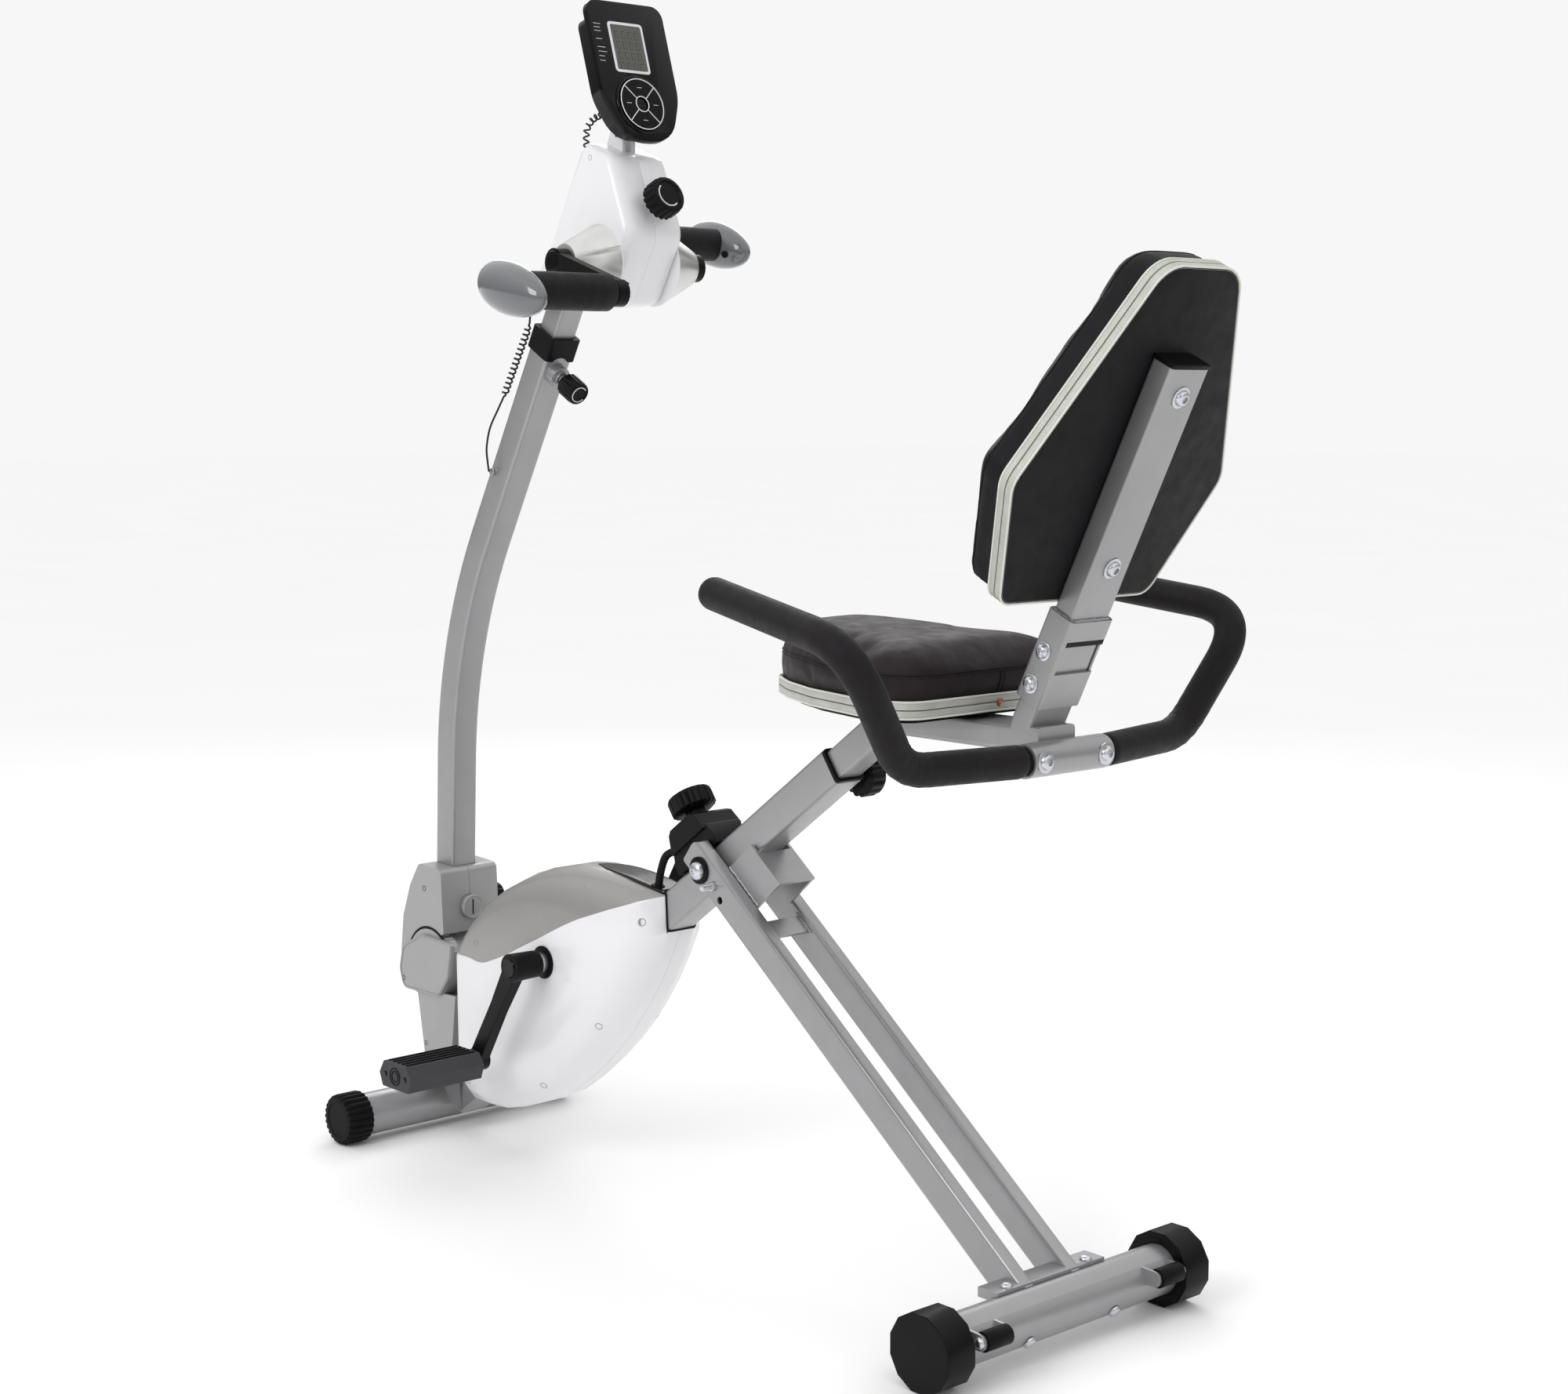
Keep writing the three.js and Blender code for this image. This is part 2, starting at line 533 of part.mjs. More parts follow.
function seatFrame() {
  const h = 15.5;
  const inner = 13;
  const post = toSeatPost(bar('x', [70, 330], [-h, h], [-h, h], TUBE_CORNER - 1))
    .intersect(box(-100, 400, -20, 20, 300, 580));
  const bore = toSeatPost(box(69, 285, -inner, inner, -inner, inner));
  const beam = bar('x', [222, 422], [-25, 25], [556, 581], TUBE_CORNER);
  const lower = toWorldBack(bar('z', [-POST.deep, 0], [-25, 25], [-8, 104], TUBE_CORNER))
    .intersect(box(300, 500, -30, 30, 560, 700));
  const cross = rodY(CROSS.r, -CROSS.half, CROSS.half, CROSS.x, CROSS.z);
  const ends = [-1, 1].map((side) => {
    const span = [side * (CROSS.half - 20), side * (CROSS.half + 1)].sort((a, b) => a - b);
    return rodY(CROSS.r - 2.5, ...span, CROSS.x, CROSS.z);
  });
  return cut(join(cut(post, bore), beam, lower, cross), ...ends);
}

function handlebar(side) {
  const y = (v) => side * v;
  const path = bent([[CROSS.x, y(CROSS.half + 3), CROSS.z], [411, y(187), 556],
    [430, y(268), 670], [195, y(220), 701]], 50);
  const grip = sweep(ring(BAR_R, 10), path, 36);
  const stub = rodY(CROSS.r - 3.2, ...[y(CROSS.half - 18), y(CROSS.half + 6)].sort((a, b) => a - b),
    CROSS.x, CROSS.z);
  return join(grip, stub);
}

// ---- Cushions: outlines seen from above (seat) and from the back (backrest) -----------------
function slab(outline, thick, edge) {             // a flat pad along Z with softened top edge
  const shape = new THREE.Shape(outline.map(([x, y]) => new THREE.Vector2(x, y)));
  const g = new THREE.ExtrudeGeometry(shape, {
    depth: thick - edge, bevelEnabled: edge > 0, bevelThickness: edge, bevelSize: edge,
    bevelOffset: -edge, bevelSegments: 2,
  });
  const body = solid(g);
  return edge > 0 ? cut(body, box(-900, 900, -900, 900, -100, 0)) : body;
}

const SEAT_OUTLINE = rounded([[342, -105, 24], [342, 105, 24], [300, 121, 40], [200, 98, 80],
  [140, 73, 60], [84, 38, 34], [84, -38, 34], [140, -73, 60], [200, -98, 80], [300, -121, 40]], 3);
const SEAT_MIDDLE = { x: 215, scale: 0.88 };      // the board under the seat is smaller
const BACKREST_OUTLINE = rounded([[98, 128, 16], [-98, 128, 16], [-139, 246, 24], [-48, 448, 32],
  [48, 448, 32], [139, 246, 24]], 4);

function backPad(thick, edge) {                   // the outline stands up: X across, Z along
  const facingFront = new THREE.Matrix4().makeBasis(
    new THREE.Vector3(0, 1, 0), new THREE.Vector3(0, 0, 1), new THREE.Vector3(-1, 0, 0));
  return slab(BACKREST_OUTLINE, thick, edge).transform(facingFront.toArray());
}

function backPost() {
  const post = bar('z', [-POST.deep, 0], [-25, 25], [112, 366], TUBE_CORNER);
  const outer = bar('z', [-POST.deep - 3.3, 3.3], [-28.3, 28.3], [30, 120], TUBE_CORNER);
  const socket = box(-POST.deep - GAP, GAP, -25 - GAP, 25 + GAP, 29, 104.5);
  const window = box(0, 10, -24.5, 30, 66, 100);
  const core = box(-POST.deep + 2.5, -2.5, -22.5, 22.5, 100, 360);
  return cut(join(outer, post), socket, window, core);
}

// ---- Mast -----------------------------------------------------------------------------------
const MAST_LOWER_RUN = 137;                       // straight, above its cover
const MAST_STRAIGHT = 267;                        // straight upper run
const mastTopStart = {
  x: MAST_LOW.x + MAST_LOWER_RUN * Math.sin(MAST.foot)
    + MAST_BEND_R * (Math.cos(MAST.foot) - Math.cos(MAST.lean)),
  z: MAST_LOW.z + MAST_LOWER_RUN * Math.cos(MAST.foot)
    + MAST_BEND_R * (Math.sin(MAST.lean) - Math.sin(MAST.foot)),
};
const mastTop = {
  x: mastTopStart.x + MAST_STRAIGHT * Math.sin(MAST.lean),
  z: mastTopStart.z + MAST_STRAIGHT * Math.cos(MAST.lean),
};

function mastRings() {                            // rounded square sections up the curved tube
  const half = MAST.width / 2;
  const bends = 12;
  const points = [{ x: HINGE.x - 6, z: HINGE.z - 16 }];
  for (let k = 0; k <= bends; k += 1) {
    const angle = MAST.foot + ((MAST.lean - MAST.foot) * k) / bends;
    points.push({
      x: mastTopStart.x - MAST_BEND_R * (Math.cos(angle) - Math.cos(MAST.lean)),
      z: mastTopStart.z - MAST_BEND_R * (Math.sin(MAST.lean) - Math.sin(angle)),
    });
  }
  points.push(mastTop);
  const section = rounded([[-half, -half, TUBE_CORNER], [half, -half, TUBE_CORNER],
    [half, half, TUBE_CORNER], [-half, half, TUBE_CORNER]], 2);
  return points.map((p, i) => {
    const before = points[Math.max(i - 1, 0)];
    const after = points[Math.min(i + 1, points.length - 1)];
    const d = new THREE.Vector2(after.x - before.x, after.z - before.z).normalize();
    return section.map(([a, b]) => [p.x + a * d.y, b, p.z - a * d.x]);
  });
}

const alongMast = turned(mastTop.x, mastTop.z, MAST.lean);
const onMast = (body) => moved(body, mastTop.x, mastTop.z, MAST.lean);
const POP_PIN_Z = -40;                            // below the top of the mast

function mastTube() {
  const half = MAST.width / 2;
  const outer = loft(mastRings(), seenAlongZ);
  const bore = onMast(box(-15.2, 15.2, -15.2, 15.2, -215, 10));
  const low = box(HINGE.x - 30, HINGE.x + 30, -15, 15, HINGE.z - 30, HINGE.z + 90);
  const boss = onMast(rodX(12.5, half - 2, half + 12, 0, POP_PIN_Z, 20));
  const hole = onMast(rodX(6.4, 0, half + 20, 0, POP_PIN_Z, 12));
  const grommet = rodY(4.5, -half - 5, -half + 1, -423, 792, 12);
  const pivot = rodY(6.3, -30, 30, HINGE.x, HINGE.z, 16);
  return cut(join(cut(outer, bore, low), boss, grommet), hole, pivot);
}

function mastCollar() {
  const half = MAST.width / 2;
  const outer = half + 2.6;
  const body = bar('z', [-outer, outer], [-outer, outer], [-25, 2.5], TUBE_CORNER);
  const seat = half + GAP;
  return cut(body, box(-seat, seat, -seat, seat, -26, GAP), box(-15, 15, -15, 15, -1, 5),
    rodX(14, 10, 30, 0, POP_PIN_Z + 6, 20));
}

function popPin(reach, shankR, knobR, depth) {    // along Z, from its tip at the origin
  return join(rodZ(shankR, 0, reach + 1, 0, 0, 12),
    ribbedKnob(knobR, depth, 14).translate([0, 0, reach]));
}

// ---- Arm-crank head -------------------------------------------------------------------------
const HEAD_OUTLINE = rounded([[-190, 974, 16], [-148, 1047, 22], [-181, 1130, 12], [-224, 1147, 8],
  [-284, 1041], [-329, 984, 6], [-318, 972, 5]]);
const HEAD_CENTRE = { x: -228, z: 1058 };
const HEAD_RINGS = [[0.15, 1], [24, 1], [34, 0.98], [HEAD_HALF, 0.92]];

function headShell(side) {
  const outer = shellBody(HEAD_OUTLINE, HEAD_CENTRE, HEAD_RINGS);
  const inside = HEAD_RINGS.map(([y, scale], i) => [i ? y - 3 : -1, scale - 0.045]);
  const inner = shellBody(HEAD_OUTLINE, HEAD_CENTRE, inside);
  const cone = rodY(20, HEAD_HALF - 1, 84, ARM_AXLE.x, ARM_AXLE.z, 28, 43);
  const bore = rodY(9, -5, 90, ARM_AXLE.x, ARM_AXLE.z, 20);
  const entry = onMast(box(-16, 16, -16, 16, -20, 92));
  const knobHole = moved(rodX(5, 20, 70, 0, 0, 12), -190, 1080, rad(-22));
  const tab = prism([[-232, 1126], [-196, 1124], [-195, 1150], [-196.5, 1160], [-203, 1168],
    [-212, 1164]], 4.3, 8.7);
  const pin = rodY(2.4, 0, 12, CONSOLE_HINGE.x, CONSOLE_HINGE.z, 12);
  const shell = cut(join(cut(outer, inner), cone, tab), bore, entry, knobHole, pin);
  return side > 0 ? shell : shell.mirror([0, 1, 0]);
}

function innerPost() {
  const h = 14.8;
  const foot = cut(bar('z', [-h, h], [-h, h], [-200, 90], TUBE_CORNER - 1),
    box(-h + 2.5, h - 2.5, -h + 2.5, h - 2.5, -201, 91));
  const bearing = rodY(15, -22, 22, ARM_AXLE.x, ARM_AXLE.z, 20);
  const link = box(-276, -196, -4, 4, 1006, 1028);
  const inPlace = join(onMast(foot), link, bearing);
  return cut(inPlace, rodY(8.4, -40, 40, ARM_AXLE.x, ARM_AXLE.z, 20));
}

function armAxle() {
  const reach = ARM.inner + 9;
  return join(rodY(8, -reach, reach, 0, 0, 16), rodY(24, 24, 28, 0, 0, 28));
}

function armCrank(side) {
  const hub = rodY(15, ARM.inner, ARM.inner + 13, 0, 0, 20);
  const end = rodY(14, ARM.outer - 13, ARM.outer, ARM.dx, ARM.dz, 20);
  const length = Math.hypot(ARM.dx, ARM.dz);
  const web = prism([[0, -12], [0, 12], [length, 11], [length, -11]], ARM.inner + 3, ARM.outer - 8);
  const arm = web.transform(new THREE.Matrix4().makeRotationY(-Math.atan2(ARM.dz, ARM.dx)).toArray());
  const bore = rodY(8.3, 60, ARM.inner + 9.3, 0, 0, 16);
  const spindle = rodY(5, ARM.outer - 2, GRIP.eggCentre - 8, ARM.dx, ARM.dz, 12);
  const shape = cut(join(hub, end, arm, spindle), bore);
  return side > 0 ? shape.rotate([0, 180, 0]) : shape.mirror([0, 1, 0]);
}

function grip(side) {
  const foam = rodY(GRIP.r, GRIP.start, GRIP.foamEnd + 14, 0, 0, 20);
  const egg = solid(new THREE.SphereGeometry(1, 20, 12).scale(54, 18, 26).rotateY(rad(14))
    .translate(-4, GRIP.eggCentre, 0));
  const bore = rodY(5.4, 100, GRIP.eggCentre - 7, 0, 0, 12);
  const shape = cut(join(foam, egg), bore);
  return side > 0 ? shape : shape.mirror([0, 1, 0]);
}

// ---- Console --------------------------------------------------------------------------------
const alongConsole = turned(CONSOLE.x, CONSOLE.z, CONSOLE.lean);
const KEYPAD = { y: -3, z: -37, r: 27, hub: 9 };

function consoleCase() {
  const w = CONSOLE.wide / 2;
  const t = CONSOLE.tall / 2;
  const across = rounded([[-w, t, 14], [w, t, 14], [w, -t + 50, 60], [31, -t, 38], [-31, -t, 38],
    [-w, -t + 50, 60]], 6);
  const plate = (scale, depth) => {
    const shape = new THREE.Shape(across.map(([y, z]) => new THREE.Vector2(y * scale, z * scale)));
    const g = new THREE.ExtrudeGeometry(shape, { depth, bevelEnabled: false });
    return solid(g.applyMatrix4(FACING_X));
  };
  const room = box(-12, 3, -36, 36, -40, 52);
  const vent = box(-30, 0, -6, 6, -6, 6);
  const keyRoom = rodX(KEYPAD.r + 0.4, 4, 8, KEYPAD.y, KEYPAD.z, 32);
  const lugs = [[-13, -9], [9, 13]].map((span) => box(-32, -18, ...span, -58, -40));
  const pin = rodY(2, -12, 12, -25, -49, 12);
  const body = join(plate(1, 7), plate(0.86, 22).translate([-21, 0, 0]), ...lugs, pin);
  return cut(body, room, vent.translate([0, 0, 20]), keyRoom);
}

function key(index) {                             // a quarter of the round pad
  const gap = rad(3);
  const from = rad(45 + 90 * index) + gap;
  const arc = (r, a, b) => Array.from({ length: 7 }, (_, i) => {
    const angle = a + ((b - a) * i) / 6;
    return [KEYPAD.y + r * Math.cos(angle), KEYPAD.z + r * Math.sin(angle)];
  });
  const to = from + rad(90) - 2 * gap;
  const outline = [...arc(KEYPAD.r, from, to), ...arc(KEYPAD.hub, to, from)];
  const shape = new THREE.Shape(outline.map(([y, z]) => new THREE.Vector2(y, z)));
  return solid(new THREE.ExtrudeGeometry(shape, { depth: 4.5, bevelEnabled: false })
    .applyMatrix4(FACING_X).translate(5.5, 0, 0));
}

// ---- Leads ----------------------------------------------------------------------------------
function lead(r, points, bendR, sides, steps) {
  return sweep(ring(r, sides), bent(points, bendR), steps);
}

// ---- Assembly -------------------------------------------------------------------------------
named('main_tube', mainTube(), SILVER, alongTube);
named('sleeve_bushing', sleeveBushing(), BLACK, alongTube);
named('front_stabilizer', frontStabilizer(), SILVER);
named('front_cap_left', frontCap(-1), RUBBER);
named('front_cap_right', frontCap(1), RUBBER);
named('housing_left', housing(-1), WHITE);
named('housing_right', housing(1), WHITE);
named('base_cover_left', baseCover(-1), GREY);
named('base_cover_right', baseCover(1), GREY);

const atCranks = turned(CRANK_AXLE.x, CRANK_AXLE.z, 0);
named('crank_axle', crankAxle(), STEEL, atCranks);
named('crank_left', crank(-1), BLACK, atCranks);
named('crank_right', crank(1), BLACK, atCranks);
named('drive_belt', driveBelt(), RUBBER, atCranks);
named('pedal_left', pedal(-1), RUBBER, turned(CRANK.dx, CRANK.dz, 0, atCranks));
named('pedal_right', pedal(1), RUBBER, turned(-CRANK.dx, -CRANK.dz, 0, atCranks));

const atFlywheel = turned(FLYWHEEL.x, FLYWHEEL.z, 0);
named('flywheel', flywheel(), STEEL, atFlywheel);

named('tension_box', tensionBox(), BLACK, alongTube);
const tensionKnob = named('tension_knob', dial(25, 22, 20), BLACK, alongTube);
tensionKnob.position.set(-14, 0, 72.4);

named('pivot_bolt', pivotBolt(), ZINC, alongTube);
const alongLegs = turned(PIVOT.x, PIVOT.z, LEG_SLOPE);
named('leg_frame', legFrame(), SILVER, alongLegs);
named('lock_pin', lockPin(), ZINC, alongLegs);
named('rear_stabilizer', rearStabilizer(), SILVER);
for (const [side, word] of [[-1, 'left'], [1, 'right']]) {
  named(`rear_cap_${word}`, rearCap(side), BLACK);
  const wheel = cut(rodY(9.5, -15.7, 15.7, 0, 0, 16), rodY(2.9, -20, 20, 0, 0, 12));
  const roller = named(`roller_${word}`, wheel, RUBBER);
  roller.position.set(REAR.x + 35, side * 120, ROLLER_Z);
}

named('seat_frame', seatFrame(), SILVER);
named('handlebar_left', handlebar(-1), FOAM);
named('handlebar_right', handlebar(1), FOAM);
const boardOutline = SEAT_OUTLINE.map(([x, y]) => [
  SEAT_MIDDLE.x + (x - SEAT_MIDDLE.x) * SEAT_MIDDLE.scale, y * SEAT_MIDDLE.scale]);
const seatBoard = named('seat_board', slab(boardOutline, 5, 0), BLACK);
seatBoard.position.z = 581 + GAP;
const seatCushion = named('seat_cushion', slab(SEAT_OUTLINE, 80, 22), VINYL);
seatCushion.position.z = 586 + 2 * GAP;

const alongBack = turned(BACK.x, BACK.z, BACK.lean);
named('back_post', backPost(), SILVER, alongBack);
const backBoard = named('backrest_board', backPad(9, 0), BLACK, alongBack);
backBoard.position.x = -POST.deep - GAP;
const backrest = named('backrest_cushion', backPad(44, 14), VINYL, alongBack);
backrest.position.x = -POST.deep - 9.6;

const seatKnob = named('seat_knob', popPin(11.2, 5, 22, 23), BLACK, alongTube);
seatKnob.position.set(SEAT_PIN.s, 15.8, SEAT_PIN.t);
seatKnob.rotation.x = -Math.PI / 2;

named('mast_tube', mastTube(), SILVER);
named('mast_cover_left', mastCover(-1), GREY);
named('mast_cover_right', mastCover(1), GREY);
named('mast_collar', mastCollar(), BLACK, alongMast);
const mastKnob = named('mast_knob', popPin(22.4, 5.5, 13.5, 28), BLACK, alongMast);
mastKnob.position.set(15.8, 0, POP_PIN_Z);
mastKnob.rotation.y = Math.PI / 2;
const tiltKnob = named('tilt_knob', popPin(6, 6, 17, 16), BLACK);
tiltKnob.position.set(-541, COVER_HALF + GAP, 272);
tiltKnob.rotation.x = -Math.PI / 2;

named('inner_post', innerPost(), SILVER);
named('head_left', headShell(-1), WHITE);
named('head_right', headShell(1), WHITE);
const headKnob = named('head_knob', dial(21, 22, 20), BLACK);
headKnob.position.set(-148, 0, 1080);
headKnob.rotation.y = rad(68);

const atArms = turned(ARM_AXLE.x, ARM_AXLE.z, 0);
named('arm_axle', armAxle(), STEEL, atArms);
named('arm_crank_left', armCrank(-1), BLACK, atArms);
named('arm_crank_right', armCrank(1), BLACK, atArms);
named('grip_left', grip(-1), FOAM, turned(ARM.dx, ARM.dz, 0, atArms));
named('grip_right', grip(1), FOAM, turned(-ARM.dx, -ARM.dz, 0, atArms));

named('console_case', consoleCase(), BLACK, alongConsole);
for (const [index, word] of ['top', 'left', 'bottom', 'right'].entries()) {
  named(`key_${word}`, key(index), BLACK, alongConsole);
}

const coilTop = [-352, -18, 957];
const coilEnd = [-403, -18, 877];
const leadTop = [[-321, -14, 1001], [-350, -16, 990], [-351.6, -18, 958]];
const leadTail = [[-403.5, -18, 876], [-424, -28, 838], [-424, -24.4, 792.5]];
const consoleRun = [[-240, -22, 1138], [-240, -22, 1166], [-207, -22, 1176]];
named('mast_lead_top', lead(1.5, leadTop, 12, 8, 8), RUBBER);
named('mast_lead_coil', lead(4.5, [coilTop, coilEnd], 1, 10, 6), RUBBER);
named('mast_lead_tail', lead(1.5, leadTail, 16, 8, 10), RUBBER);
named('console_lead', lead(4, consoleRun, 11, 10, 10), RUBBER);

export default bike;
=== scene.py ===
"""Recumbent exercise bike: materials, upholstery, leads and fittings around the CAD frame."""
import random
from math import cos, pi, radians, sin, sqrt, tan

import bmesh
import bpy
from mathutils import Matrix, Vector
from mathutils.bvhtree import BVHTree


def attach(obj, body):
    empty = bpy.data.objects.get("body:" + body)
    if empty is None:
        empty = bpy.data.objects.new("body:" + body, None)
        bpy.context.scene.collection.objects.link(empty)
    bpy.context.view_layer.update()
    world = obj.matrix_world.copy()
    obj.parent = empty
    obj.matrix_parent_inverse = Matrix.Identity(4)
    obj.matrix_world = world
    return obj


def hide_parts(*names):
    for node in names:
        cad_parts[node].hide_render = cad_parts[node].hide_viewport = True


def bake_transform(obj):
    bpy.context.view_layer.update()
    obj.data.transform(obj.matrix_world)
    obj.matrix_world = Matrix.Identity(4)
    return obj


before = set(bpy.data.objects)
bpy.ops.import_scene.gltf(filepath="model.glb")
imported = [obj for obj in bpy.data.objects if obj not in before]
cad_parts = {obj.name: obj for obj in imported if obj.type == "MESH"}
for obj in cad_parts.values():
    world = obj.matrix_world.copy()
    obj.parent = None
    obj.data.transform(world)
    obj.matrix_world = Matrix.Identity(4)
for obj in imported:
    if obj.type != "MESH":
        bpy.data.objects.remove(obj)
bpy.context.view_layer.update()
random.seed(7)
MM = 0.001
CENTRE = 7.0                     # the CAD's own shift along X, in millimetres
UP, ACROSS, REARWARD = Vector((0, 0, 1)), Vector((0, 1, 0)), Vector((1, 0, 0))
SIDES = ((-1, "left"), (1, "right"))


class Place:
    """A frame turned about Y, as in the CAD: local millimetres in, row-frame metres out."""

    def __init__(self, x=0.0, z=0.0, degrees=0.0):
        a = radians(degrees)
        self.o = Vector((x + CENTRE, 0, z))
        self.u = Vector((cos(a), 0, -sin(a)))
        self.w = Vector((sin(a), 0, cos(a)))

    def at(self, a, b, c):
        return (self.o + self.u * a + ACROSS * b + self.w * c) * MM

    def way(self, a, b, c):
        return self.at(a, b, c) - self.at(0, 0, 0)


WORLD = Place()
at = WORLD.at
TUBE = Place(-35, 387.5, -36)
LEGS = Place(-35, 387.5, 37.5)
BACK = Place(408, 572, 26.1)
CONSOLE = Place(-188, 1216, -17)
MAST_TOP = Place(-323.9, 946.8, 29.5)
CRANK_AXLE, CRANK_ARM = (-286, 250), (74, 119)      # X and Z; the arm is the right one's
HEAD_AXLE, HEAD_ARM = (-200, 1017), (-111, 35)


def arm_end(axle, arm, side):
    """X and Z of the end of a crank arm; the left arm points away from the right one."""
    return axle[0] + side * arm[0], axle[1] + side * arm[1]


def new_object(name, data):
    obj = bpy.data.objects.new(name, data)
    bpy.context.collection.objects.link(obj)
    return obj


# ---- Camera and light ----
def make_camera():
    data = bpy.data.cameras.new("camera")
    data.lens = 57.6
    data.sensor_width = 36.0
    data.clip_end = 60.0
    cam = new_object("camera", data)
    cam.location = (1.9427, -1.6984, 0.880)
    cam.rotation_euler = (radians(90 - 6.878), 0, radians(47.97))
    bpy.context.scene.camera = cam


def area_light(name, where, aim, size, watts):
    data = bpy.data.lights.new(name, "AREA")
    data.shape = "RECTANGLE"
    data.size, data.size_y = size
    data.energy = watts
    lamp = new_object(name, data)
    lamp.location = where
    lamp.rotation_euler = (Vector(aim) - Vector(where)).to_track_quat("-Z", "Y").to_euler()


def make_stage():
    scene = bpy.context.scene
    scene.world = bpy.data.worlds.new("studio")
    sky = Nodes(scene.world, "Background")
    height = sky.add("SeparateXYZ", {0: sky.coords["Generated"]}).outputs[2]
    seen = sky.add("LightPath").outputs["Is Camera Ray"]
    unseen = sky.spread(height, 0.05, 0.7, 0.20, 1.16)
    glow = sky.add("Mix", {"Factor": seen, "A": unseen, "B": 0.93})
    sky.put({"Color": (1, 1, 1, 1), "Strength": glow.outputs["Result"]})
    scene.view_settings.view_transform = "Standard"
    area_light("key", (0.3, -3.1, 2.3), (0, 0, 0.5), (1.4, 1.4), 34)
    area_light("fill", (3.2, -0.4, 1.6), (0, 0, 0.6), (1.2, 2.0), 5)
    area_light("rim", (-2.2, 2.0, 2.2), (0, 0, 0.7), (1.6, 1.2), 16)
    size = 30.0
    floor = mesh_object("floor", [(-size, -size, 0), (size, -size, 0), (size, size, 0),
                                  (-size, size, 0)], [(0, 1, 2, 3)])
    floor.location.z = -0.0006
    floor.data.materials.append(floor_material())


# ---- Materials ----
class Nodes:
    """Small wrapper that makes the node tree of a material or the world a line at a time."""

    def __init__(self, owner, shader="Principled BSDF"):
        owner.use_nodes = True
        self.mat, self.tree = owner, owner.node_tree
        self.shader = self.tree.nodes[shader]
        self.coords = self.add("TexCoord").outputs

    def feed(self, sockets, inputs):
        """Gives each named socket a value, or links it to another node's output."""
        for key, value in inputs.items():
            if isinstance(value, bpy.types.NodeSocket):
                self.tree.links.new(value, sockets[key])
            else:
                sockets[key].default_value = value

    def add(self, kind, inputs={}, **values):
        node = self.tree.nodes.new("ShaderNode" + kind)
        for key, value in values.items():
            setattr(node, key, value)
        self.feed(node.inputs, inputs)
        return node

    def put(self, inputs):
        self.feed(self.shader.inputs, inputs)

    def noise(self, scale, detail=4.0, rough=0.55, stretch=None):
        source = self.coords["Object"]
        if stretch:
            source = self.add("Mapping", {"Scale": stretch, "Vector": source}).outputs[0]
        inputs = {"Scale": scale, "Detail": detail, "Roughness": rough, "Vector": source}
        return self.add("TexNoise", inputs).outputs["Fac"]

    def cells(self, scale):
        inputs = {"Scale": scale, "Vector": self.coords["Object"]}
        return self.add("TexVoronoi", inputs).outputs["Distance"]

    def spread(self, source, low, high, out_low=0.0, out_high=1.0):
        inputs = {"From Min": low, "From Max": high, "To Min": out_low, "To Max": out_high}
        return self.add("MapRange", {**inputs, "Value": source}).outputs["Result"]

    def mix(self, factor, a, b):
        inputs = {"Factor": factor, "A": a, "B": b}
        return self.add("Mix", inputs, data_type="RGBA").outputs["Result"]

    def ramp(self, source, low, high, first, second):
        return self.mix(self.spread(source, low, high), (*first, 1), (*second, 1))

    def shades(self, source, low, high, colour, dark, light):
        """One colour made darker and lighter by a pattern."""
        return self.ramp(source, low, high, *(tuple(c * k for c in colour) for k in (dark, light)))

    def gloss(self, source, low, high):
        self.put({"Roughness": self.spread(source, 0.3, 0.7, low, high)})

    def maths(self, operation, a, b=0.0):
        return self.add("Math", {0: a, 1: b}, operation=operation).outputs[0]

    def bump(self, height, strength, distance, after=None):
        inputs = {"Strength": strength, "Distance": distance, "Height": height}
        if after:
            inputs["Normal"] = after
        normal = self.add("Bump", inputs).outputs["Normal"]
        self.put({"Normal": normal})
        return normal


def material(name):
    return Nodes(bpy.data.materials.new(name))


def surface(name, colour, roughness, metallic=0.0, grain=900.0, depth=0.00005, vary=0.06,
            coat=0.0, strength=0.25, wear=0.05, specular=0.5):
    """Moulded, painted or plated surface with fine grain, faint mottling and uneven gloss."""
    n = material(name)
    n.put({"Metallic": metallic, "Specular IOR Level": specular, "Coat Weight": coat,
           "Coat Roughness": 0.1,
           "Base Color": n.shades(n.noise(9.0, 5.0), 0.3, 0.7, colour, 1 - vary, 1 + vary)})
    n.gloss(n.noise(38.0, 4.0, 0.6), roughness - wear, roughness + wear)
    n.bump(n.noise(grain, 3.0), strength, depth)
    return n.mat


def metallic_paint(name, colour):
    n = material(name)
    flakes = n.cells(2600.0)
    tone = n.maths("ADD", n.maths("MULTIPLY", flakes, 0.35), n.noise(6.0, 4.0))
    n.put({"Metallic": 0.62, "Coat Weight": 0.25, "Coat Roughness": 0.22,
           "Base Color": n.shades(tone, 0.35, 0.95, colour, 0.90, 1.08)})
    n.gloss(n.noise(45.0), 0.32, 0.42)
    peel = n.bump(n.noise(260.0, 2.0), 0.12, 0.00012)
    n.bump(flakes, 0.06, 0.00003, peel)
    return n.mat


def vinyl_material(name, colour, wrinkle):
    n = material(name)
    n.put({"Sheen Weight": 0.03, "Sheen Roughness": 0.5, "Specular IOR Level": 0.14,
           "Base Color": n.shades(n.noise(14.0, 5.0), 0.3, 0.72, colour, 0.85, 1.2)})
    n.gloss(n.noise(60.0), 0.46, 0.62)
    grain = n.bump(n.cells(1400.0), 0.3, 0.00012)
    soft = n.bump(n.noise(520.0, 2.0), 0.15, 0.0001, grain)
    n.bump(n.noise(26.0, 3.0, 0.5, stretch=(0.35, 1.6, 1.0)), wrinkle, 0.0035, soft)
    return n.mat


